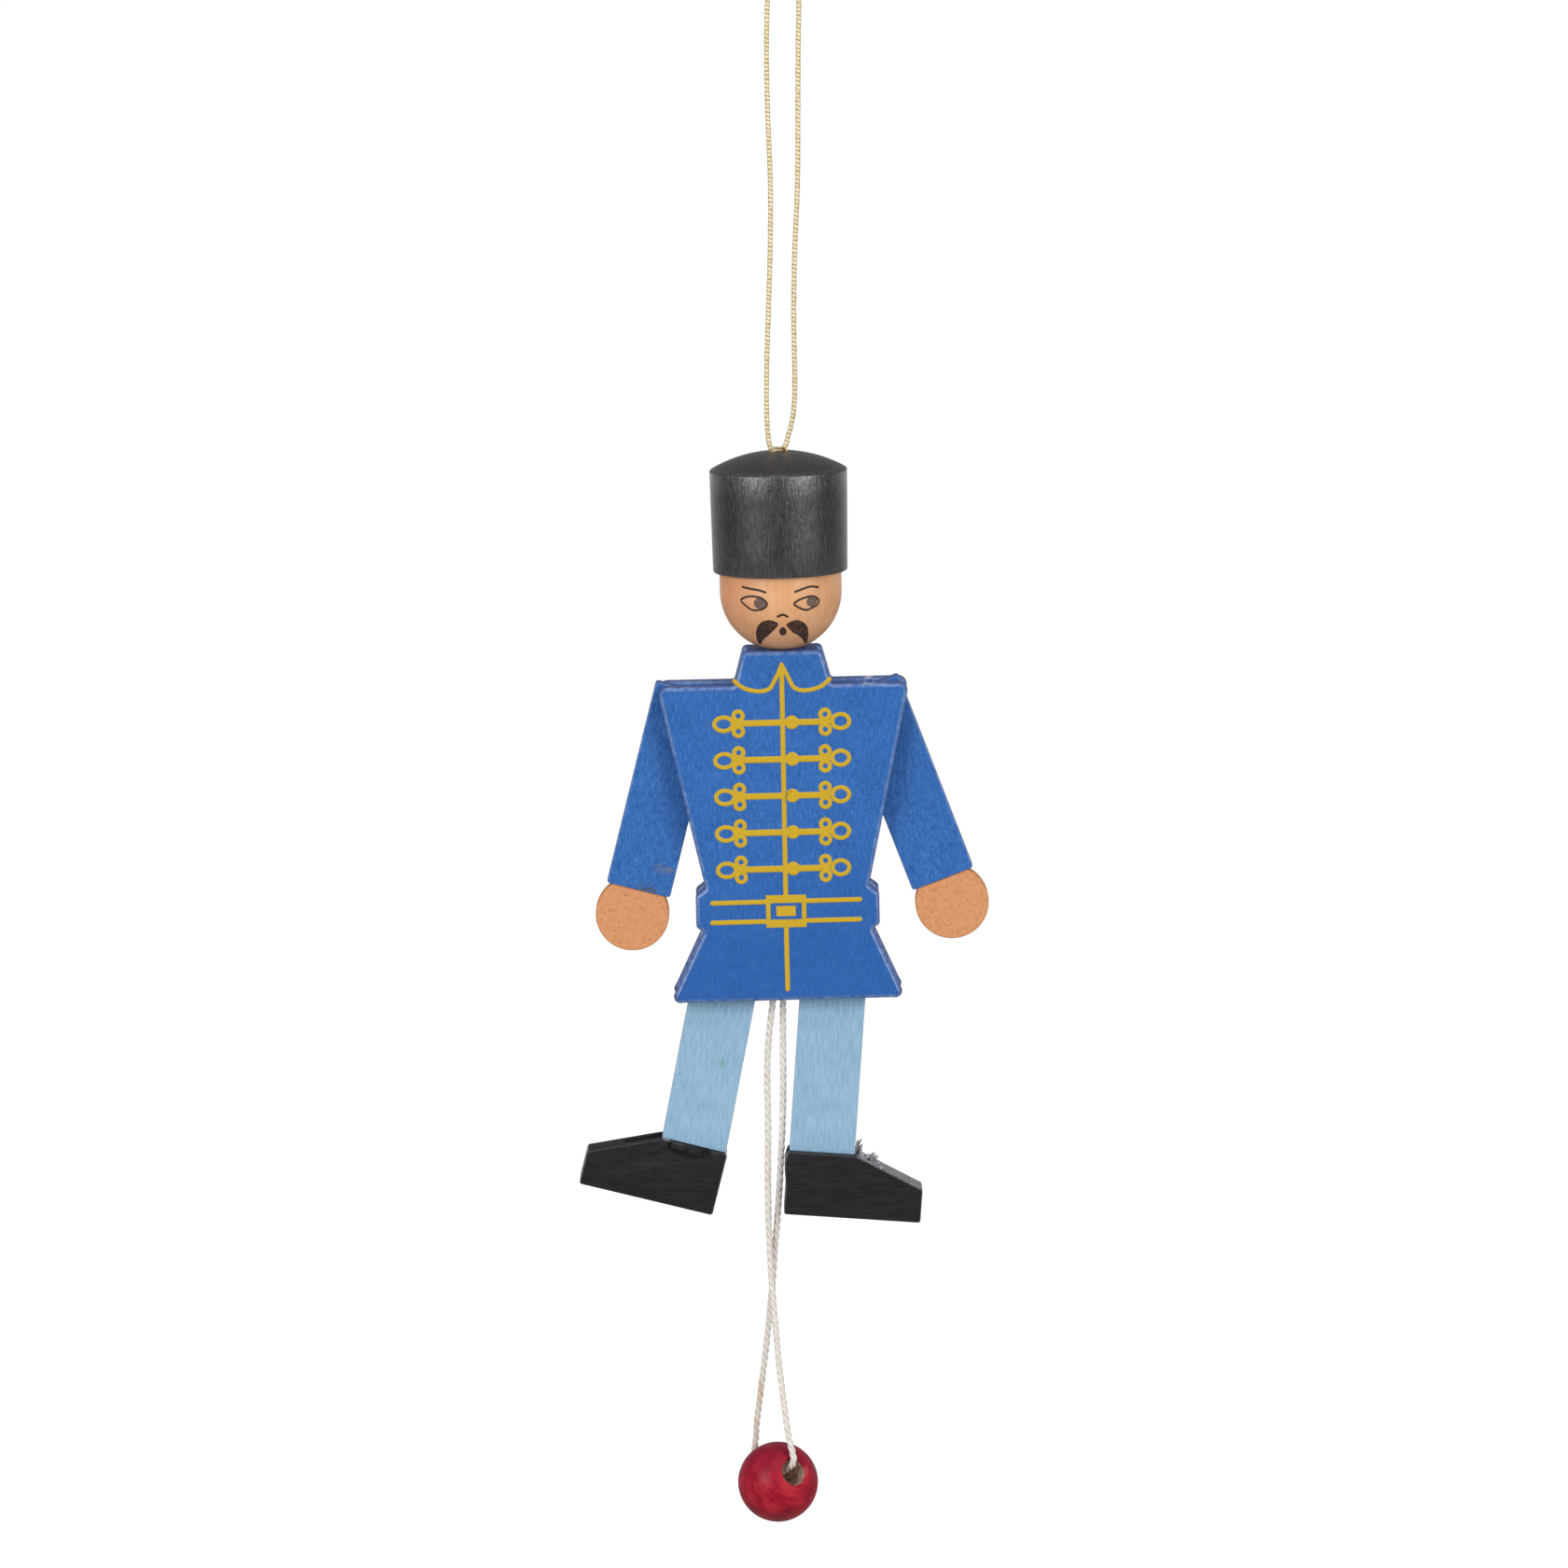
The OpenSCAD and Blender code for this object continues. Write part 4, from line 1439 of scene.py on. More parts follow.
@dataclass
class HangingLoop:
    """The gold cord loop, its knot, and the staple that holds it on the hat."""

    route: tuple[Point3, ...] = (
        (-0.3, 0, 0.6), (-0.9, 0, -1), (-1.7, 0, -3.2), (-2, 0, -5.8), (-2.3, 0, -12),
        (-2.35, 0, -20), (-2.2, 0, -30), (-2.4, 0, -38), (-2.8, -0.1, -46), (-3.2, -0.3, -54),
        (-3.3, -0.6, -59.5), (-3.18, -0.74, -62.1), (-3.02, -0.74, -63.2),
        (-2.81, -0.59, -63.76), (-2.445, -0.32, -64.1), (-2, 0, -64.22), (-1.555, 0.32, -64.1),
        (-1.19, 0.59, -63.76), (-0.9, 0.74, -63.2), (-0.6, 0.74, -62.2), (-0.1, 0.66, -60.4),
        (0.25, 0.5, -58), (0.4, 0.25, -54), (0.42, 0, -47), (0.7, 0, -39), (1.25, 0, -30),
        (1.5, 0, -21), (1.7, 0, -13), (1.9, 0, -5.8), (1.6, 0, -3.2), (0.9, 0, -1), (0.3, 0, 0.6),
    )
    knot_r: float = 1.1
    knot_inset: float = 0.35
    knot_squash: float = 0.42
    knot_turn: Point3 = (0.3, 0.5, 0.0)
    tail_l: float = 5.0
    tail_spread: float = 14.0
    staple_wire: float = 0.35
    staple_w: float = 2.1
    staple_in: float = 3.0
    wire_bend: float = 0.3
    wire_spare: float = 0.6
    step: float = 0.065
    bridge_z: float = 71.1

    def build(self) -> None:
        """Builds the loop and what holds it."""
        gold = GOLD_THREAD.build()
        line = Route(self.route, self.step)
        cord = GOLD_CORD.build("gold_cord_loop", line)
        knot = self.knot()
        Bench.dress(knot, "torso", "gold_cord", gold, "hanging_knot")
        Bench.dress(cord, "torso", "gold_cord", gold, "hanging_cord")
        [p * MM for p in line.points[::8]]
        LOG.info("hanging cord: %.1f mm", line.length)
        self.staple()

    def knot(self) -> bpy.types.Object:
        """Ties the overhand knot with its two tails.

        Returns:
            The knot.
        """
        centre = Vector((0.0, 0.0, self.knot_r))
        size = self.knot_r - self.knot_inset
        body = trefoil(centre, size, self.knot_squash, Euler(self.knot_turn))
        parts = [GOLD_CORD.build("knot_turns", Route(body, STEP))]
        for side in (-1, 1):
            lean = math.radians(self.tail_spread * side)
            way = Vector((math.sin(lean), 0.0, math.cos(lean)))
            tail = [centre + way * t * (self.knot_r + self.tail_l) for t in (0.0, 0.4, 0.7, 0.97)]
            parts.append(GOLD_CORD.build("knot_tail", Route(tail, STEP)))
        return Bench.join(parts, "gold_cord_knot")

    def staple(self) -> None:
        """Bends the wire staple over the cord."""
        half, bend = self.staple_w / 2, self.wire_bend
        foot = self.bridge_z - self.staple_in - self.wire_spare
        arc = [math.pi / 2 * step / 6 for step in range(7)]
        corners = [(-half, foot)]
        for side, angles in ((-1, arc), (1, reversed(arc))):
            corners += [
                (side * (half - bend + bend * math.cos(a)),
                 self.bridge_z - bend + bend * math.sin(a))
                for a in angles
            ]
        corners.append((half, foot))
        wire = Stroke.tube(
            "hat_staple_wire", [place(x, 0.0, z) for x, z in corners], self.staple_wire / 2
        )
        brass = DrawnMetal("tarnished_brass_wire", "F0DCAE", "C7A060", 0.45).build()
        Bench.dress(wire, "torso", "brass_wire", brass, "hat_staple")


class Stroke:
    """Lines of wire, ink or paint, drawn as curves and turned into meshes."""

    @staticmethod
    def tube(
        name: str, points: Sequence[Vector], radius: float, closed: bool = False,
        widths: Sequence[float] | None = None, smooth_sides: int = 3,
    ) -> bpy.types.Object:
        """Draws a round line.

        Args:
            name: Name of the piece.
            points: The line's points in metres.
            radius: Radius of the line in mm.
            closed: Whether the line joins up.
            widths: Share of the radius at each point.
            smooth_sides: Steps of a quarter turn.

        Returns:
            The line as a mesh.
        """
        curve = bpy.data.curves.new(name, "CURVE")
        curve.dimensions = "3D"
        curve.bevel_depth = radius * MM
        curve.bevel_resolution = smooth_sides
        curve.use_fill_caps = True
        spline = curve.splines.new("POLY")
        spline.points.add(len(points) - 1)
        for index, point in enumerate(points):
            spline.points[index].co = (*point, 1.0)
            spline.points[index].radius = widths[index] if widths else 1.0
        spline.use_cyclic_u = closed
        Bench.pick(Bench.link(name, curve))
        bpy.ops.object.convert(target="MESH")
        piece = Bench.take(name)
        Bench.edit()
        bpy.ops.mesh.remove_doubles(threshold=1e-7)
        Bench.close(SMOOTH)
        return piece

    @staticmethod
    def curved(points: Sequence[Point2], closed: bool = False, steps: int = 8) -> list[Point2]:
        """Rounds a drawn line off between its points.

        Args:
            points: Places in mm.
            closed: Whether the line joins up.
            steps: Steps between two points.

        Returns:
            Points on a smooth line.
        """
        count = len(points)
        result: list[Point2] = []
        for index in range(count if closed else count - 1):
            a, b, c, d = (
                Vector(points[(index + k) % count if closed else min(max(index + k, 0), count - 1)])
                for k in (-1, 0, 1, 2)
            )
            for step in range(steps):
                t = step / steps
                result.append(tuple(
                    0.5 * (2 * b + (c - a) * t + (2 * a - 5 * b + 4 * c - d) * t ** 2
                           + (3 * b - a - 3 * c + d) * t ** 3)
                ))
        if not closed:
            result.append(tuple(points[-1]))
        return result


@dataclass
class BraidPrint:
    """The yellow braid, collar line and belt printed on the front panel."""

    surface: float = -DEPTH / 2
    film: float = 0.03
    line: float = 0.29
    row_z: float = 36.07
    row_gap: float = 4.76
    rows: int = 5
    row_taper: float = 0.006
    row_middle: float = -7.7
    stroke: float = 0.33
    loops: tuple[tuple[float, float, float, float], ...] = (
        (-7.72, -0.04, 1.2, 0.88), (-5.84, 0.98, 0.6, 0.6), (-5.84, -1.02, 0.6, 0.6),
        (5.32, 0.98, 0.6, 0.6), (5.32, -0.98, 0.6, 0.6), (7.32, 0.05, 1.1, 0.92),
    )
    belt_lines: tuple[tuple[Point2, Point2], ...] = (
        ((-9.65, 12.72), (-2.9, 12.76)), ((-9.7, 10.16), (-2.9, 10.19)),
        ((2.5, 12.8), (9.3, 12.84)), ((2.5, 10.21), (9.25, 10.24)),
    )
    buckle: tuple[tuple[float, float, float, float], ...] = (
        (-0.2, 13.1, 5.2, 1.05), (-0.2, 9.9, 5.2, 1.05), (-2.51, 11.5, 0.58, 2.15),
        (2.11, 11.5, 0.58, 2.15), (-0.22, 11.52, 2.5, 1.34),
    )
    collar: tuple[Point2, ...] = (
        (-6.2, 41.6), (-5.2, 40.75), (-3.9, 40.3), (-2.7, 40.22), (-1.75, 40.5), (-1.35, 41.0),
    )

    def build(self) -> None:
        """Prints the braid and dresses it."""
        parts = [Bench.join(self.braid_row(), "braid_row")]
        middle = place(self.row_middle, 0.0, 0.0)
        for row in range(1, self.rows):
            # The rows get a little shorter down the chest
            narrow = Matrix.Diagonal((1 - self.row_taper * row, 1.0, 1.0, 1.0))
            drop = Matrix.Translation((0.0, 0.0, -row * self.row_gap * MM))
            lower = Bench.copy(parts[0], f"braid_row_{row}")
            Bench.settle(
                lower, drop @ Matrix.Translation(middle) @ narrow @ Matrix.Translation(-middle)
            )
            parts.append(lower)
        parts += self.centre_lines() + self.collar_lines() + self.belt()
        braid = Bench.join(parts, "braid_print")
        yellow = Ink(
            "yellow_screen_ink", "CBA61E", "A98B2C", speckle=0.3, size=0.3,
            marks=(
                Mark(0.1, 26.4, 0.4, 2.2, -8.0, "4A4630", 0.9),
                Mark(0.6, 27.0, 0.3, 1.4, -35.0, "4A4630", 0.8),
            ),
        ).build()
        Bench.dress(braid, "torso", "jacket_blue", yellow)

    def flat_line(
        self, points: Sequence[Point2], half: float, closed: bool = False
    ) -> bpy.types.Object:
        """Prints a line on the panel.

        Args:
            points: Figure places in mm.
            half: Half of the line's width in mm.
            closed: Whether the line joins up.

        Returns:
            The line, flattened on the panel.
        """
        path, widths = list(points), None
        if not closed:
            path, widths = self.round_ends(path, half)
        line = Stroke.tube(
            "print", [Vector((x, 0.0, z)) * MM for x, z in path], half, closed, widths
        )
        flatten = Matrix.Diagonal((1.0, self.film / half, 1.0, 1.0))
        Bench.settle(line, Matrix.Translation(place(0.0, self.surface, 0.0)) @ flatten)
        return line

    @staticmethod
    def round_ends(path: list[Point2], half: float) -> tuple[list[Point2], list[float]]:
        """Rounds a printed line's two ends.

        Args:
            path: The line's points.
            half: Half of its width in mm.

        Returns:
            The points with those of the ends, and the share of the width at each.
        """
        widths = [1.0] * len(path)
        for end, inner, front in ((path[-1], path[-2], False), (path[0], path[1], True)):
            way = (Vector(end) - Vector(inner)).normalized()
            for angle in (25.0, 50.0, 72.0, 86.0):
                turn = math.radians(angle)
                point = tuple(Vector(end) + way * half * math.sin(turn))
                spot = 0 if front else len(path)
                path.insert(spot, point)
                widths.insert(spot, math.cos(turn))
        return path, widths

    def loop(self, x: float, z: float, wide: float, high: float) -> bpy.types.Object:
        """Prints an oval loop about a figure place, from its half width and half height."""
        return self.flat_line(oval(x, z, wide, high, 32), self.line, True)

    def braid_row(self) -> list[bpy.types.Object]:
        """Prints the top row of braid with its loops and toggle.

        Returns:
            The row's lines.
        """
        z = self.row_z
        parts = [self.loop(x, z + up, wide, high) for x, up, wide, high in self.loops]
        parts.append(self.flat_line(((-6.3, z), (5.6, z + 0.03)), 0.44))
        parts.append(self.flat_line(oval(1.05, z + 0.02, 0.46, 0.46, 24), 0.47, True))
        return parts

    def centre_lines(self) -> list[bpy.types.Object]:
        """Prints the line down the front, above and below the buckle."""
        return [
            self.flat_line(((-0.12, 43.2), (-0.16, 30.0), (-0.22, 13.3)), self.stroke),
            self.flat_line(((-0.24, 9.6), (-0.22, 1.3)), self.stroke),
        ]

    def collar_lines(self) -> list[bpy.types.Object]:
        """Prints the collar's edge: a dip on each side and a point in the middle.

        Returns:
            The lines.
        """
        lines = []
        for side, shift in ((1, 0.0), (-1, -0.2)):
            dip = [(side * x + shift, z) for x, z in self.collar]
            tip = [(side * -1.35 + shift, 41.0), (side * -0.6 + shift * 0.6, 42.4), (-0.12, 43.6)]
            lines += [self.flat_line(path, self.line) for path in (Stroke.curved(dip), tip)]
        return lines

    def belt(self) -> list[bpy.types.Object]:
        """Prints the belt's two edges and its buckle."""
        edges = [self.flat_line(line, self.stroke) for line in self.belt_lines]
        return edges + [self.bar(*sizes) for sizes in self.buckle]

    def bar(self, x: float, z: float, wide: float, high: float) -> bpy.types.Object:
        """Prints a bar with square corners.

        Args:
            x: Middle to the right of the figure's middle, in mm.
            z: Middle above the hem, in mm.
            wide: Width in mm.
            high: Height in mm.

        Returns:
            The bar.
        """
        Bench.clear()
        bpy.ops.mesh.primitive_cube_add(
            size=1.0, location=place(x, self.surface, z),
            scale=(wide * MM, self.film * 2.1 * MM, high * MM),
        )
        piece = Bench.take("print")
        bpy.ops.object.transform_apply(location=True, rotation=True, scale=True)
        Bench.edit()
        bpy.ops.mesh.bevel(offset=0.02 * MM, segments=2, affect="EDGES")
        bpy.ops.object.mode_set(mode="OBJECT")
        return piece


@dataclass
class Trunk:
    """The two sawn panels, the spacer between them and the nails through them."""

    half: tuple[Point2, ...] = (
        (10.9, 8.9), (11.85, 9.5), (11.85, 13.6), (10.55, 14.6), (16.25, 40.9), (6.25, 40.9),
        (5.05, 45.3),
    )
    radii: tuple[float, ...] = (0.8, 0.3, 0.6, 0.6, 0.2, 1.1, 0.4, 0.7)
    soften: float = 0.55
    nail_d: float = 1.2
    nail_head_d: float = 2.4
    nail_head_t: float = 0.4
    nail_cover: float = 0.7
    nail_tip: float = 0.3
    nail_edge: float = 0.1
    hem_corners: tuple[Point2, Point2] = ((-15.35, -0.35), (14.9, -0.18))

    def build(self) -> None:
        """Builds the panels, nails and neck."""
        paint = WoodPaint(
            # C3D0EA: rubbed pale paint on the edges, which is also a painted highlight along them
            "blue_jacket_paint", "2C64AD", "205499", "3B75BB", "C3D0EA", "59598A", 0.5,
            # 1B559F: the painted shade towards the hem
            "1B559F", grain=Grain(fibre=0.17, length=1.3), roughness=0.5, streaks=0.65,
            relief=0.03, wear=0.25,
            marks=(
                Mark(11.0, 41.2, 2.4, 1.2, 0.0, "C9CAD6", 0.9),
                Mark(-9.9, 36.0, 1.1, 0.7, 60.0, "3A4658", 0.8),
            ),
        ).build()
        outline = self.outline()
        for name, front, node in (
            ("jacket_front", -DEPTH / 2, "front_panel"), ("jacket_back", GAP / 2, "back_panel"),
        ):
            panel = Bench.plate(name, outline, front, PANEL_THICK, self.soften)
            Bench.dress(panel, "torso", "jacket_blue", paint, node)
        BraidPrint().build()
        self.hammer_nails()
        self.finish_neck(paint)

    def outline(self) -> list[Vector]:
        """Draws the trunk's outline, with the hem as it was sawn: a little askew.

        Returns:
            The outline in metres.
        """
        left, right = self.hem_corners
        points = [right, *self.half, *((-x, z) for x, z in reversed(self.half)), left]
        radii = list(self.radii) + list(reversed(self.radii))
        return outline_at(rounded(points, radii))

    def hammer_nails(self) -> None:
        """Makes the four nails, with slightly domed heads on the back."""
        steel = DrawnMetal("dull_steel_nail", "B4B4B2", "8B8A86", 0.4).build()
        point_y = GAP / 2 + PANEL_THICK - self.nail_cover - SEAT
        shank_l = point_y + DEPTH / 2
        r, head_r, t = self.nail_d / 2, self.nail_head_d / 2, self.nail_head_t
        tip, edge = self.nail_tip, self.nail_edge
        profile = [
            (0.0, -shank_l), (r * 0.7, -shank_l), (r, -shank_l + tip), (r, 0.0),
            (head_r - edge, 0.0), (head_r, edge), (head_r, t - 0.16), (head_r - 0.14, t - 0.04),
            (head_r * 0.5, t), (0.0, t),
        ]
        pattern = Bench.turn("steel_nail", profile, False, 40)
        for kind, (x, z), aside in (("arm", ARM_NAIL, ARMS_ASIDE), ("leg", LEG_NAIL, 0.0)):
            for side in Side:
                name = f"{side.word}_{kind}_nail"
                nail = Bench.copy(pattern, f"{name}_steel")
                spot = Matrix.Translation(place(side.value * x + aside, DEPTH / 2, z))
                Bench.settle(nail, spot @ Matrix.Rotation(math.radians(-90), 4, "X"))
                Bench.dress(nail, "torso", "steel", steel, name)
        bpy.data.objects.remove(pattern)

    def finish_neck(self, paint: bpy.types.Material) -> None:
        """Paints the spacer and leaves the hidden dowel bare.

        Args:
            paint: The jacket's paint.
        """
        raw = WoodPaint(
            "bare_beech_dowel", "D8B98A", "C6A374", "E3C99E", "D8B98A", roughness=0.7, streaks=0.8,
        ).build()
        for name, material in (("neck_spacer", paint), ("neck_dowel", raw)):
            node = bpy.data.objects[name]
            node.data.materials.clear()
            node.data.materials.append(material)


@dataclass
class HeadAndHat:
    """The turned head with its painted face, and the tall turned hat."""

    head_r: float = 7.85
    ball_z: float = 52.8
    collar_z: float = 45.3
    hat_z: float = 55.3
    socket: float = 3.0
    lip: float = 0.8
    flare: float = 0.2
    hat_h: float = 13.1
    dome_h: float = 2.4
    rim_round: float = 0.22
    # Reach of the rubbed rims, with their painted highlight, from the upper and the lower rim, in
    # mm
    rubs: Point2 = (0.45, 0.35)

    def build(self) -> None:
        """Builds the head, the face and the hat."""
        self.build_head()
        self.build_hat()
        Face(self.head_r, self.ball_z).build()

    def build_head(self) -> None:
        """Turns the head: a ball with a flat under it and a straight top."""
        profile = [(0.0, self.collar_z)]
        low = math.acos((self.ball_z - self.collar_z) / self.head_r)
        for step in range(41):
            angle = low + (math.pi / 2 - low) * step / 40
            profile.append(
                (self.head_r * math.sin(angle), self.ball_z - self.head_r * math.cos(angle))
            )
        top = self.hat_z + self.socket - SEAT
        profile += [(self.head_r, top), (0.0, top)]
        head = Bench.turn("turned_head", profile, False, 128)
        Bench.settle(head, Matrix.Translation(place(0.0, 0.0, 0.0)))
        Bench.dress(head, "torso", "bare_wood", TurnedStain("skin_stained_beech").build(), "head")

    def build_hat(self) -> None:
        """Turns the hat, with a socket under it and a low dome on top."""
        low_r = self.head_r + self.lip
        top_r = low_r + self.flare
        rim_z = self.hat_z + self.hat_h
        dome_r = (top_r ** 2 + self.dome_h ** 2) / (2 * self.dome_h)
        middle_z = rim_z + self.dome_h - dome_r
        limit = math.asin((top_r - self.rim_round) / dome_r)
        profile = [
            (dome_r * math.sin(limit * k / 24), middle_z + dome_r * math.cos(limit * k / 24))
            for k in range(25)
        ]
        rounding = self.rim_round
        for step in range(1, 6):
            angle = math.radians(18 + 14 * step)
            profile.append((
                top_r - rounding + rounding * math.sin(angle),
                rim_z - rounding * 0.75 + rounding * math.cos(angle),
            ))
        for share in (0.25, 0.5, 0.75):
            profile.append((top_r - self.flare * share, rim_z - self.hat_h * share))
        for step in range(5):
            angle = math.radians(90 * step / 4)
            profile.append((
                low_r - rounding + rounding * math.cos(angle),
                self.hat_z + rounding - rounding * math.sin(angle),
            ))
        bore = self.head_r + SEAT
        profile += [(bore, self.hat_z), (bore, self.hat_z + self.socket)]
        profile.append((0.0, self.hat_z + self.socket))
        hat = Bench.turn("turned_hat", profile, False, 128, 30.0)
        Bench.settle(hat, Matrix.Translation(place(0.0, 0.0, 0.0)))
        self.mark_rims(hat, rim_z)
        black = WoodPaint(
            # 625F60: rubbed rims, which are also a painted highlight along them
            "black_hat_paint", "252227", "141217", "3A373C", "625F60",
            grain=Grain(fibre=0.21, length=1.3), roughness=0.31, streaks=0.9, relief=0.095,
            wear=0.3, gloss=1.0, marks=(Mark(5.0, 60.4, 0.35, 0.5, 20.0, "C9C7C6", 1.0),),
        ).build()
        Bench.dress(hat, "torso", "black_paint", black, "hat")

    def mark_rims(self, hat: bpy.types.Object, rim_z: float) -> None:
        """Writes where the hat's rims are rubbed and take a painted highlight.

        Args:
            hat: The hat.
            rim_z: Height of the upper rim in mm.
        """
        upper, lower = self.rubs
        heights = [v.co.z / MM - HEM.z for v in hat.data.vertices]
        Bench.write(hat.data, "edge", (
            max(0.0, 1 - abs(z - rim_z) / upper, 1 - abs(z - self.hat_z) / lower)
            for z in heights
        ))


@dataclass
class Face:
    """The face that is drawn on the ball with a fine brush."""

    head_r: float
    ball_z: float
    film: float = 0.03
    brows: tuple[tuple[Point2, ...], ...] = (
        ((-4.95, 1.28), (-4.0, 1.1), (-2.95, 0.95), (-2.1, 0.72), (-1.9, 0.6)),
        ((1.72, 0.62), (2.69, 0.96), (3.65, 1.2), (4.2, 1.18), (4.85, 1.0)),
    )
    eyes: tuple[tuple[Point2, ...], ...] = (
        ((-5.11, -0.5), (-4.65, -0.1), (-4.02, 0.09), (-3.31, 0.1), (-2.6, -0.03), (-2.12, -0.36),
         (-1.81, -0.84), (-2.14, -1.34), (-2.75, -1.62), (-3.7, -1.66), (-4.5, -1.15)),
        ((1.67, -0.91), (2.18, -0.46), (2.9, -0.2), (3.75, -0.03), (4.4, -0.2), (4.84, -0.68),
         (4.66, -1.2), (4.07, -1.5), (3.23, -1.78), (2.4, -1.46)),
    )
    irises: tuple[Point3, ...] = ((-2.73, -0.76, 0.74), (3.93, -0.74, 0.68))
    nose: tuple[Point2, ...] = (
        (-0.53, -2.58), (-0.3, -2.42), (0.18, -2.26), (0.6, -2.42), (0.87, -2.62),
    )
    moustache: tuple[tuple[Point2, ...], ...] = (
        ((-0.55, -3.5), (-1.0, -3.2), (-1.67, -3.1), (-2.42, -3.33), (-2.95, -3.96),
         (-3.17, -4.8), (-3.11, -5.67), (-2.84, -6.5), (-2.5, -5.76), (-1.98, -5.21),
         (-1.38, -4.6), (-0.8, -3.95)),
        ((0.76, -3.63), (1.34, -3.28), (1.99, -3.17), (2.75, -3.55), (3.15, -4.1),
         (3.29, -4.88), (3.25, -5.71), (3.06, -6.55), (2.73, -5.78), (2.2, -5.19),
         (1.5, -4.66), (0.97, -4.01)),
    )
    mouth: tuple[float, float, float, float] = (0.15, -4.56, 0.46, 0.6)

    def build(self) -> None:
        """Paints the face."""
        dark = Ink("dark_brown_brush_ink", "3A2A22", "7A5238", speckle=0.3, size=0.35).build()
        lines = [self.line(brow, 0.15) for brow in self.brows]
        lines += [self.line(eye, 0.14, closed=True) for eye in self.eyes]
        lines.append(self.line(self.nose, 0.16))
        lines += [self.line(half, 0.13, closed=True) for half in self.moustache]
        lines.append(self.patch(oval(*self.mouth, 20), 0.5))
        face = Bench.join(lines, "painted_face")
        Bench.dress(face, "torso", "bare_wood", dark)
        speckled = Ink("sponged_brown_ink", "33241D", "7D5740", speckle=0.75, size=0.25).build()
        hair = Bench.join([self.patch(half, 0.42) for half in self.moustache], "painted_moustache")
        Bench.dress(hair, "torso", "bare_wood", speckled)
        grey = Ink("grey_brown_ink", "665349", "94796A", speckle=0.7, size=0.25).build()
        discs = [self.patch(oval(x, z, r, r, 24), 0.3) for x, z, r in self.irises]
        irises = Bench.join(discs, "painted_irises")
        Bench.dress(irises, "torso", "bare_wood", grey)

    def on_ball(self, x: float, z: float, out: float) -> Vector:
        """Puts a point on the head.

        Args:
            x: Distance to the right of the face's middle, in mm.
            z: Height above the ball's middle, in mm.
            out: Height above the wood in mm.

        Returns:
            The place in metres.
        """
        low = min(z, 0.0)
        flat = Vector((x, 0.0, low))
        depth = math.sqrt(max(self.head_r ** 2 - flat.length_squared, 0.01))
        normal = Vector((x, -depth, low)).normalized()
        spot = Vector((x, -depth, z)) + normal * out
        return place(spot.x, spot.y, self.ball_z + spot.z)

    def line(self, points: Sequence[Point2], half: float, closed: bool = False) -> bpy.types.Object:
        """Draws a brush line on the head.

        Args:
            points: The line, about the ball's middle, in mm.
            half: Half of its width in mm.
            closed: Whether the line joins up.

        Returns:
            The line.
        """
        radius = (half ** 2 / self.film + self.film) / 2
        line = [self.on_ball(x, z, self.film - radius) for x, z in Stroke.curved(points, closed)]
        return Stroke.tube("brush_line", line, radius, closed, smooth_sides=12)

    def patch(self, points: Sequence[Point2], height: float) -> bpy.types.Object:
        """Fills an outline on the head.

        Args:
            points: The outline, about the ball's middle, in mm.
            height: Share of the film's thickness.

        Returns:
            The patch.
        """
        flat = [Vector((x, 0.0, z)) for x, z in Stroke.curved(points, True, 4)]
        piece = Bench.ring("ink_patch", flat, True)
        Bench.edit()
        bpy.ops.mesh.quads_convert_to_tris()
        bpy.ops.mesh.subdivide(number_cuts=3)
        bpy.ops.mesh.select_all(action="SELECT")
        bpy.ops.mesh.extrude_region_move(TRANSFORM_OT_translate={"value": (0.0, 1.0, 0.0)})
        bpy.ops.object.mode_set(mode="OBJECT")
        for vertex in piece.data.vertices:
            out = self.film * height if vertex.co.y < 0.5 else -0.15
            vertex.co = self.on_ball(vertex.co.x, vertex.co.z, out)
        Bench.pick(piece)
        Bench.edit()
        Bench.close(SMOOTH)
        return piece


@dataclass
class Limb:
    """A flat limb that swings on its nail, made hanging straight down."""

    side: Side
    out: float
    nail_x: float
    nail_z: float
    aside: float = 0.0
    hole_r: float = 3.4
    hole_turn: float = 35.0
    hole_d: float = 0.8
    nail_d: float = 1.3
    soften: float = 0.16

    @property
    def middle_x(self) -> float:
        """Where the nail is, to the right of the figure's middle, in mm."""
        return self.side.value * self.nail_x + self.aside

    def outline(self, points: Sequence[Point2]) -> list[Vector]:
        """Turns an outline about the nail, in mm, to the limb's rest angle."""
        return [self.spot(x, z) for x, z in points]

    def spot(self, x: float, z: float) -> Vector:
        """Turns one place about the nail, in mm, to the limb's rest angle."""
        along, up = turned(x, z, self.out * self.side.value)
        return place(self.middle_x + along, 0.0, self.nail_z + up)

    def grain(self, fibre: float, length: float) -> Grain:
        """Gives grain along the limb, from the width and length of its fibres in mm."""
        turn = (0.0, -self.out * self.side.value, 0.0)
        return Grain((self.middle_x, 0.0, self.nail_z), turn, fibre, length)

    def drills(self) -> list[bpy.types.Object]:
        """Gives the drills for the nail and the cross thread, whose hole is turned inwards.

        Returns:
            Two drills.
        """
        angle = math.radians(self.hole_turn)
        x = -self.side.value * self.hole_r * math.sin(angle)
        thread = self.spot(x, self.hole_r * math.cos(angle))
        return [
            Bench.drill(self.spot(0.0, 0.0), self.nail_d, 2 * LIMB_THICK),
            Bench.drill(thread, self.hole_d, 2 * LIMB_THICK),
        ]

    def saw(
        self, name: str, outline: Sequence[Vector], soften: float,
        cuts: Sequence[bpy.types.Object] = (),
    ) -> bpy.types.Object:
        """Saws a plate of the limbs' thickness.

        Args:
            name: Name of the piece, after the side.
            outline: Its corners in metres.
            soften: Rounding of its edges in mm.
            cuts: Pieces that are cut away.

        Returns:
            The plate.
        """
        name = f"{self.side.word}_{name}"
        return Bench.plate(name, outline, -LIMB_THICK / 2, LIMB_THICK, soften, cuts)


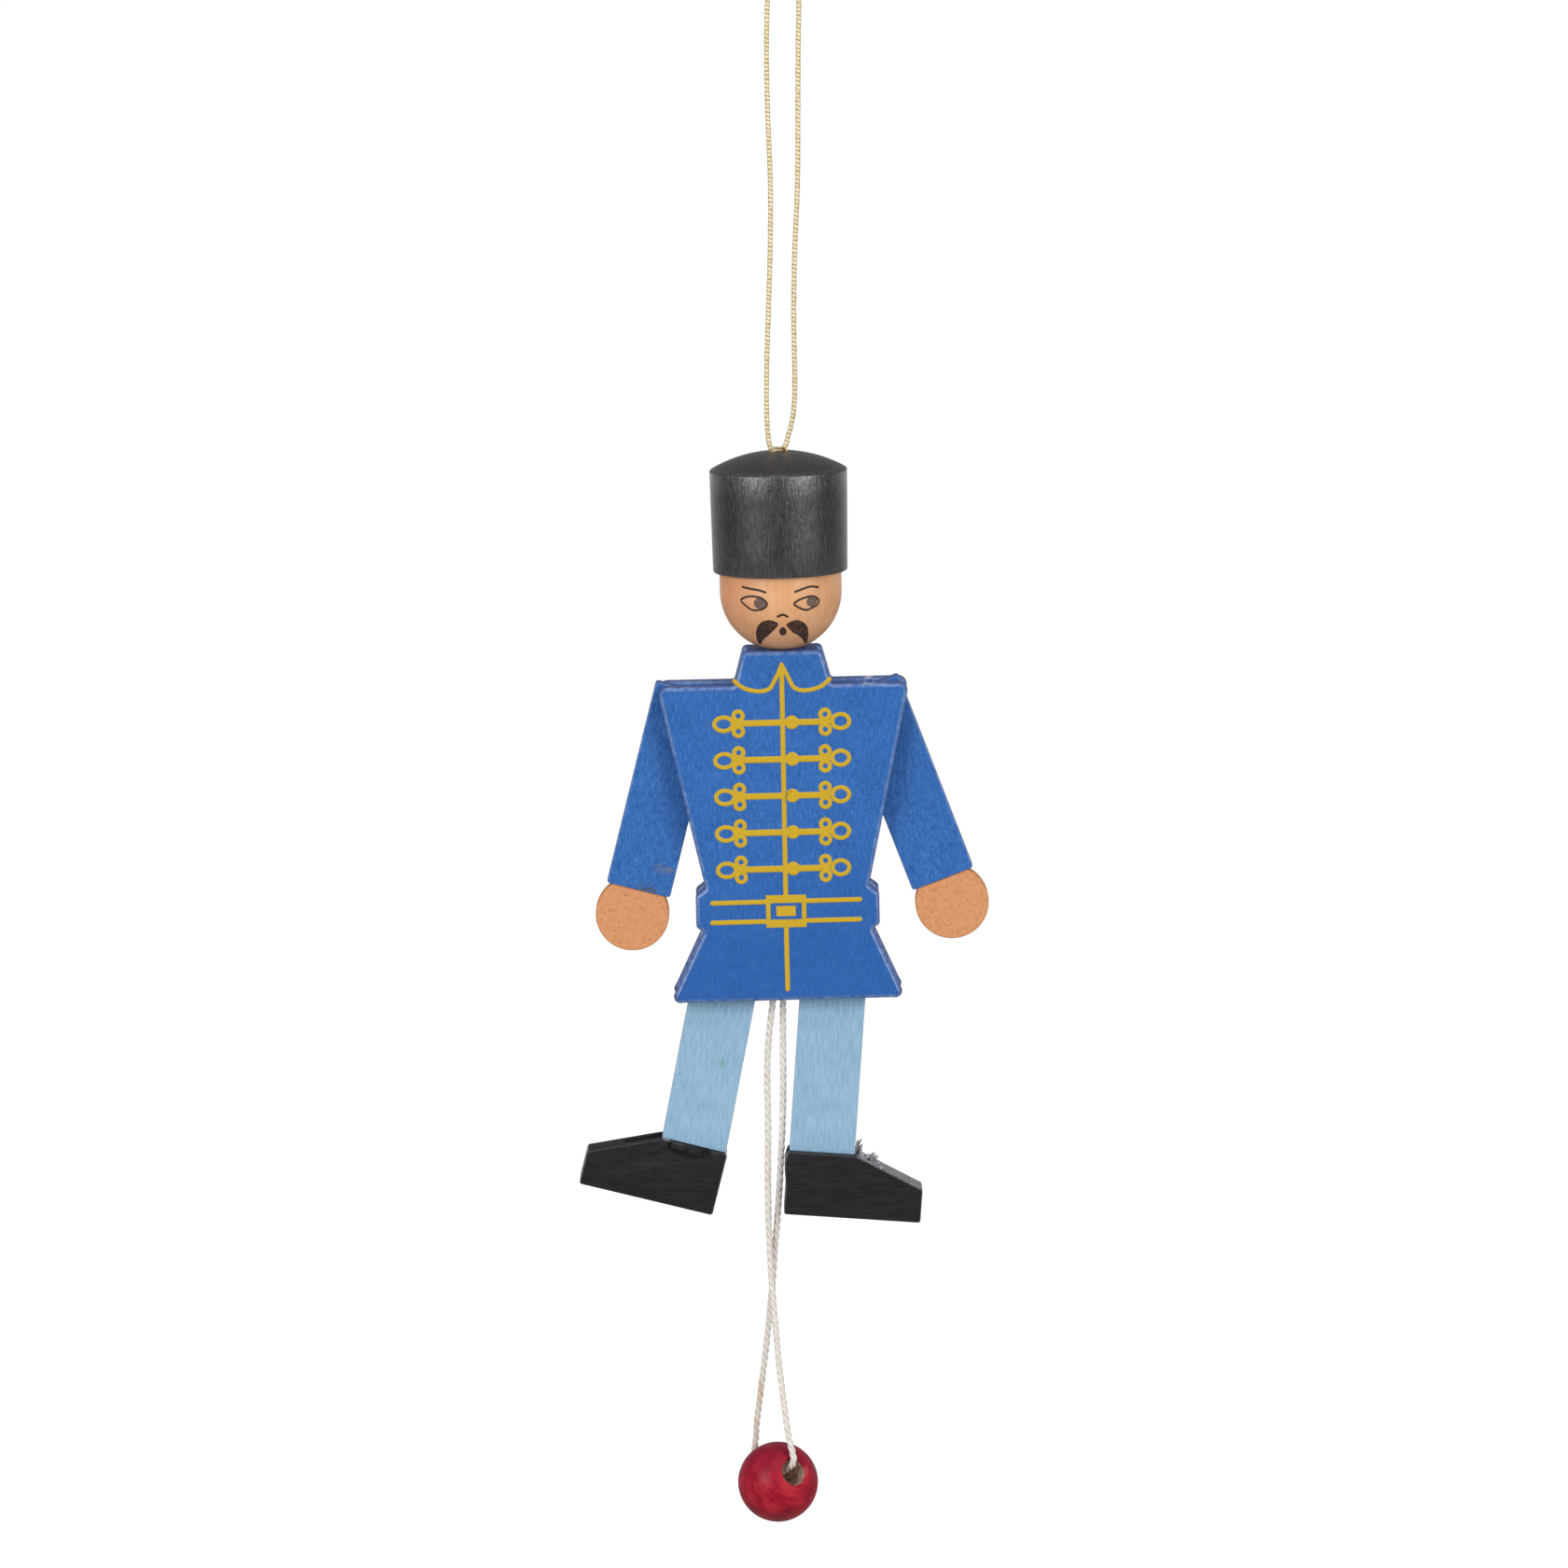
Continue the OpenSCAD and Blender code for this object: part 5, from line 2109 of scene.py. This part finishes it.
@dataclass
class Arm(Limb):
    """A sleeve with a round slice of dowel for a hand."""

    width: float = 8.4
    length: float = 27.0
    top: float = 4.2
    hand_r: float = 4.75
    hand_out: float = 3.25
    corner_r: float = 0.4
    sleeve_soften: float = 0.18

    def build(self) -> None:
        """Builds the sleeve and the hand."""
        half, low = self.width / 2, self.top - self.length
        corners = [(-half, low), (half, low), (half, self.top), (-half, self.top)]
        outline = self.outline(rounded(corners, [self.corner_r] * len(corners)))
        sleeve = self.saw("sleeve", outline, self.sleeve_soften, self.drills())
        marks = ()
        if self.side is Side.LEFT:
            marks = (
                Mark(-15.9, 16.9, 3.4, 1.5, -15.0, "66708C", 0.95),
                Mark(-18.2, 14.3, 3.4, 1.5, -12.0, "4C5468", 0.95),
            )
        paint = WoodPaint(
            f"blue_{self.side.word}_sleeve_paint", "2F66AD", "1F539A", "4078BC", "8FA3CA", "4A5590",
            0.5, grain=self.grain(0.17, 1.4), roughness=0.52, streaks=0.65, wear=0.35, marks=marks,
        ).build()
        body = f"{self.side.word}_arm"
        Bench.dress(sleeve, body, "jacket_blue", paint, body)
        self.build_hand(low, body)

    def build_hand(self, low: float, body: str) -> None:
        """Slices the hand from a dowel and flattens it at the cuff.

        Args:
            low: Height of the cuff above the nail, in mm.
            body: Body that the hand rides on.
        """
        middle = low - self.hand_out
        flat = math.acos(self.hand_out / self.hand_r)
        angles = [math.pi / 2 + flat + (math.tau - 2 * flat) * k / 72 for k in range(73)]
        points = [(self.hand_r * math.cos(a), middle + self.hand_r * math.sin(a)) for a in angles]
        hand = self.saw("dowel_hand", self.outline(points), self.soften)
        stain = EndGrainStain(f"{self.side.word}_hand_end_grain", self.grain(0.2, 1.0)).build()
        Bench.dress(hand, body, "end_grain", stain, f"{self.side.word}_hand")


@dataclass
class Leg(Limb):
    """A trouser leg let into the groove of its shoe."""

    hole_r: float = 3.1
    hole_turn: float = 50.0
    width: float = 8.5
    length: float = 31.2
    groove: float = 0.8
    shoe_turn: float = 0.0
    shoe_up: float = 0.0
    chipped: bool = False
    frayed: bool = False
    heel_bulge: float = 0.0
    sole: float = 17.8
    heel: float = 8.3
    toe: float = 4.4
    spare: float = 0.4
    shoe_t: float = 5.0
    shoe_soften: float = 0.2
    fibres: int = 34
    fibre_r: float = 0.15
    fibre_root: float = 0.3
    fibre_spread: float = 2.1

    def build(self) -> None:
        """Builds the leg and the shoe."""
        half, low = self.width / 2, -self.length - self.groove
        angles = [math.pi * k / 24 for k in range(25)]
        points = [(-half, low), (half, low)]
        points += [(half * math.cos(a), half * math.sin(a)) for a in angles]
        trouser = self.saw("trouser", self.outline(points), self.soften, self.drills())
        marks = ()
        if self.side is Side.LEFT:
            marks = (Mark(-9.0, -8.9, 1.2, 1.9, 20.0, "64A490", 0.8),)
        paint = WoodPaint(
            f"light_blue_{self.side.word}_trouser_paint", "90B4CE", "83A6C3", "9BBDD5", "BCCFDD",
            "8AA6BC", 0.5, grain=self.grain(0.2, 2.2), roughness=0.55, streaks=0.9,
            relief=0.035, wear=0.35, marks=marks,
        ).build()
        body = f"{self.side.word}_leg"
        Bench.dress(trouser, body, "trouser_blue", paint, body)
        self.build_shoe(body)

    def build_shoe(self, body: str) -> None:
        """Saws the shoe, cuts its groove and sands it.

        Args:
            body: Body that the shoe rides on.
        """
        flat, bulge = self.width + self.spare, self.heel_bulge
        corners = [
            (0.0, -self.heel), (self.sole, -self.heel), (self.sole, self.toe - self.heel),
            (flat, 0.0), (0.0, 0.0),
        ]
        radii = [0.35, 0.35, 0.35, 0.25, 0.35]
        if bulge:
            corners += [(-bulge, -1.3), (-bulge, -2.2), (0.0, -4.4)]
            radii += [0.5, 0.5, 0.8]
        points = [self.on_shoe(x, z) for x, z in rounded(corners, radii)]
        shoe = Bench.plate(
            f"{self.side.word}_shoe_block", self.outline(points), -self.shoe_t / 2, self.shoe_t,
            self.shoe_soften,
        )
        Bench.cut(shoe, self.groove_cutter())
        marks = ()
        if self.chipped:
            Bench.cut(shoe, self.chip_cutter())
            # Painted shade: a near-black patch over the chip that broke out stands in for the shade
            # in the recess
            chip_shade_middle = self.spot(*self.on_shoe(5.0, -0.35)) / MM - HEM
            marks = (Mark(chip_shade_middle.x, chip_shade_middle.z, 6.4, 2.6, -self.out, "110F12", 8.0),)
        paint = WoodPaint(
            f"black_{self.side.word}_shoe_paint", "211F22", "1C1A1D", "282629", "6E6862",
            # A39EA3: thin paint on the sideways-leaning sawn faces, made pale as a painted sheen on
            # the sloping toe
            "A39EA3", 0.75, wall_lean=0.3,
            grain=Grain(
                (self.side.value * self.nail_x, 0.0, self.nail_z),
                (0.0, 90.0 - self.out * self.side.value, 0.0), 0.2, 1.8,
            ),
            roughness=0.5, streaks=0.8, relief=0.05, wear=0.2, gloss=0.2, marks=marks,
        ).build()
        Bench.dress(shoe, body, "black_paint", paint, f"{self.side.word}_shoe")
        if self.frayed:
            self.tear_fibres(body)

    def tear_fibres(self, body: str) -> None:
        """Raises torn fibres on the instep, where the saw left the wood beside the leg.

        Args:
            body: Body that they ride on.
        """
        flat = self.width + self.spare
        drop = (self.heel - self.toe) / (self.sole - flat)
        torn = []
        for number in range(self.fibres):
            share = number / self.fibres
            stray = math.sin(number * 12.9)
            along = -0.1 + 3.4 * share ** 1.4
            high = (1.6 * (1 - share) ** 1.6 + 0.35) * (0.75 + 0.25 * math.cos(number * 7.7))
            root = -drop * max(along, 0.0) - self.fibre_root
            line = [
                self.spot(*self.on_shoe(
                    flat + along + (0.2 + 0.5 * share + 0.3 * stray) * rise ** 2,
                    root + (high + self.fibre_root) * rise,
                )) + Vector((0.0, stray * self.fibre_spread * MM, 0.0))
                for rise in (0.0, 0.4, 0.75, 1.0)
            ]
            torn.append(Stroke.tube("fibre", line, self.fibre_r, widths=(1.0, 0.85, 0.55, 0.15)))
        grey = Ink("frayed_grey_fibres", "8A868E", "E2E0E4", speckle=0.9, size=0.3).build()
        fringe = Bench.join(torn, f"{self.side.word}_frayed_fibres")
        Bench.dress(fringe, body, "black_paint", grey)

    def on_shoe(self, x: float, z: float) -> Point2:
        """Turns a place in front of the heel and above the flat top to one about the nail."""
        along, up = turned(x - self.width / 2 - self.spare / 2, z, self.shoe_turn)
        return (self.side.value * along, up - self.length + self.shoe_up)

    def chip_cutter(self) -> bpy.types.Object:
        """Makes the shape that broke out of the shoe's front wall beside the leg.

        Returns:
            The cutter.
        """
        edge = (
            (2.65, 0.6), (2.75, -0.95), (3.4, -1.1), (5.6, -0.98), (7.2, -1.12), (7.4, -0.5),
            (7.3, 0.6),
        )
        outline = self.outline([self.on_shoe(x, z) for x, z in edge])
        return Bench.plate("chip", outline, -self.shoe_t / 2 - 0.5, 1.55, 0.02)

    def groove_cutter(self) -> bpy.types.Object:
        """Makes the saw cut that takes the leg.

        Returns:
            The cutter.
        """
        Bench.clear()
        wide, high = 4 * self.sole, 2 * self.heel
        spot = self.spot(0.0, -self.length - self.groove + high / 2)
        bpy.ops.mesh.primitive_cube_add(
            size=1.0, location=spot, rotation=(0.0, math.radians(-self.out * self.side.value), 0.0),
            scale=(wide * MM, (LIMB_THICK + 2 * SEAT) * MM, high * MM),
        )
        return Bench.take("saw_cut")


@dataclass
class PullString:
    """The string with its bead, and the threads that it pulls on."""

    route: tuple[Point3, ...] = (
        (-2.9, 0, -100.1), (-3.2, -0.4, -110), (-3.65, -0.5, -120), (-3.75, -0.5, -127),
        (-4.15, -0.4, -135.4), (-4.7, -0.35, -139.5), (-5.1, -0.3, -144.5), (-5.15, -0.3, -152),
        (-5.35, -0.35, -160), (-5.35, -0.45, -166), (-5.1, -0.5, -173.8), (-4.75, -1.2, -179.03),
        (-4.4, -1.85, -183.83), (-3.9, -2.5, -188.85), (-3.4, -3, -192.95),
        (-2.89, -3.34, -195.28), (-2.8, -3.5, -195.97), (-2.91, -3.31, -196.65),
        (-3.24, -2.76, -197.14), (-5.12, 0.37, -199), (-7, 3.5, -200.86), (-7.45, 4.24, -201.05),
        (-7.88, 4.96, -200.78), (-8.18, 5.46, -200.12), (-8.27, 5.7, -199.3),
        (-8.15, 5.75, -198.2), (-7.95, 5.55, -196.9), (-7.75, 5.2, -195.65), (-7.5, 4.5, -192.75),
        (-7.1, 3.8, -189.85), (-6.6, 3, -186.23), (-6, 2.05, -181.65), (-5.1, 0.5, -173.8),
        (-4.6, 0.4, -168.5), (-4.1, 0.4, -163.5), (-3.6, 0.4, -157), (-3.15, 0.4, -149),
        (-3, 0.4, -142), (-2.85, 0.4, -135.4), (-2.65, 0.35, -129.5), (-2.6, 0.3, -125.3),
    )
    bead_middle: Point3 = (-4.9, 0.0, -199.85)
    bead_r: float = 5.25
    bead_hole_r: float = 1.5
    bead_mouth: float = 0.5
    yaw: float = 31.0
    pitch: float = 27.0
    arm_knot: Point3 = (-0.9, 0.0, 35.0)
    leg_knot: Point3 = (-0.6, 0.3, 9.8)
    knot_d: float = 1.5
    knot_inset: float = 0.28
    knot_squash: float = 0.5
    arm_holes: tuple[Point2, ...] = ((-10.745, 38.385), (9.565, 38.15))
    leg_holes: tuple[Point2, ...] = ((-3.763, 11.655), (4.308, 12.392))
    thread_run: float = 2.2
    thread_behind: float = 0.25
    bend_low: float = 0.35
    bend_high: float = 0.05
    bend_run: float = 0.2
    stop_r: float = 0.42
    stop_squash: float = 0.12
    stop_step: float = 0.1

    def build(self) -> None:
        """Builds the string, its bead and the threads."""
        cotton = COTTON.build()
        line = Route(self.route, STEP)
        string = COTTON_ROPE.build("twisted_pull_string", line)
        Bench.dress(string, "pull", "string", cotton, "pull_string")
        bead = self.build_bead()
        [p * MM for p in line.points[::5]]
        LOG.info("pull string: %.1f mm", line.length)
        self.tie_knots(cotton)
        self.thread("arm", self.arm_holes, self.arm_knot, cotton)
        self.thread("leg", self.leg_holes, self.leg_knot, cotton)

    def build_bead(self) -> bpy.types.Object:
        """Turns the bead about its hole.

        Returns:
            The bead.
        """
        mouth_r = self.bead_hole_r + self.bead_mouth
        mouth_z = math.sqrt(self.bead_r ** 2 - mouth_r ** 2)
        low = math.asin(mouth_r / self.bead_r)
        profile = [
            (self.bead_r * math.sin(low + (math.pi - 2 * low) * k / 48),
             self.bead_r * math.cos(low + (math.pi - 2 * low) * k / 48))
            for k in range(49)
        ]
        inner = mouth_z - self.bead_mouth
        profile += [(self.bead_hole_r + 0.16, -inner - 0.12), (self.bead_hole_r, -inner + 0.1)]
        profile += [(self.bead_hole_r, -inner * k / 4) for k in (3, 2, 1, 0, -1, -2, -3)]
        profile += [(self.bead_hole_r, inner - 0.1), (self.bead_hole_r + 0.16, inner + 0.12)]
        bead = Bench.turn("turned_bead", profile, True, 96, 35.0)
        beyond = [math.hypot(*v.co.xy) / MM - self.bead_hole_r for v in bead.data.vertices]
        Bench.write(
            bead.data, "bore", (min(max(1 - b / self.bead_mouth, 0.0), 1.0) for b in beyond)
        )
        turn = Euler((math.radians(90 - self.pitch), 0.0, math.radians(self.yaw)), "XYZ")
        middle = Vector(self.bead_middle)
        Bench.settle(bead, Matrix.Translation(middle * MM) @ turn.to_matrix().to_4x4())
        stain = BeadStain("red_stained_bead", middle, tuple(turn), self.bead_r).build()
        return Bench.dress(bead, "bead", "red_bead", stain, "bead")

    def tie_knots(self, cotton: bpy.types.Material) -> None:
        """Ties the string's two ends to the cross threads.

        Args:
            cotton: The string's finish.
        """
        knots = []
        for spot, turn in ((self.arm_knot, (0.4, 0.2, 0.0)), (self.leg_knot, (0.2, 0.9, 0.4))):
            middle = HEM + Vector(spot)
            size = self.knot_d / 2 - self.knot_inset
            line = Route(trefoil(middle, size, self.knot_squash, Euler(turn)), STEP)
            knots.append(COTTON_ROPE.build("knot", line))
        joined = Bench.join(knots, "string_end_knots")
        Bench.dress(joined, "pull", "string", cotton, "string_knots")

    def thread(
        self, kind: str, holes: tuple[Point2, ...], knot: Point3, cotton: bpy.types.Material,
    ) -> None:
        """Lays a cross thread from one limb to the other by way of its knot.

        Args:
            kind: Arm or leg.
            holes: Figure places of the two holes, in mm.
            knot: Figure place of the knot, in mm.
            cotton: The thread's finish.
        """
        behind = LIMB_THICK / 2 + self.thread_behind
        low, high, bend = behind - self.bend_low, behind - self.bend_high, self.bend_run
        (x1, z1), (x2, z2) = holes
        points = [
            (x1, -behind, z1), (x1, low, z1), (x1 + bend, high, z1),
            (x1 + self.thread_run, behind, z1), knot, (x2 - self.thread_run, behind, z2),
            (x2 - bend, high, z2), (x2, low, z2), (x2, -behind, z2),
        ]
        line = Route([HEM + Vector(p) for p in points], STEP)
        piece = THREAD_ROPE.build(f"{kind}_cross_thread", line)
        Bench.dress(piece, "pull", "string", cotton, f"{kind}_thread")
        flat = trefoil(Vector(), self.stop_r, self.stop_squash, Euler((math.pi / 2, 0.0, 0.0)))
        knotted = Route(flat, self.stop_step)
        stops = [THREAD_ROPE.build("stop", knotted)]
        stops.append(Bench.copy(stops[0], "other_stop"))
        for stop, (x, z) in zip(stops, holes):
            Bench.settle(stop, Matrix.Translation(place(x, -behind, z)))
        stopper = Bench.join(stops, f"{kind}_thread_stops")
        Bench.dress(stopper, "pull", "string", cotton)
        if kind == "leg":
            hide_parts("thread_stops")


def main() -> None:
    """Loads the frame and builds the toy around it."""
    logging.basicConfig(level=logging.INFO, format="%(message)s")
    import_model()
    bpy.context.scene.view_settings.view_transform = "Standard"
    Studio().build()
    HangingLoop().build()
    PullString().build()
    Trunk().build()
    HeadAndHat().build()
    Arm(Side.LEFT, 15.0, *ARM_NAIL, ARMS_ASIDE).build()
    Arm(Side.RIGHT, 20.0, *ARM_NAIL, ARMS_ASIDE).build()
    Leg(Side.LEFT, 12.0, *LEG_NAIL, shoe_turn=3.0, shoe_up=0.8, chipped=True).build()
    Leg(Side.RIGHT, -5.0, *LEG_NAIL, heel_bulge=0.3, frayed=True).build()
    Bench.clear()


if __name__ == "__main__":
    main()
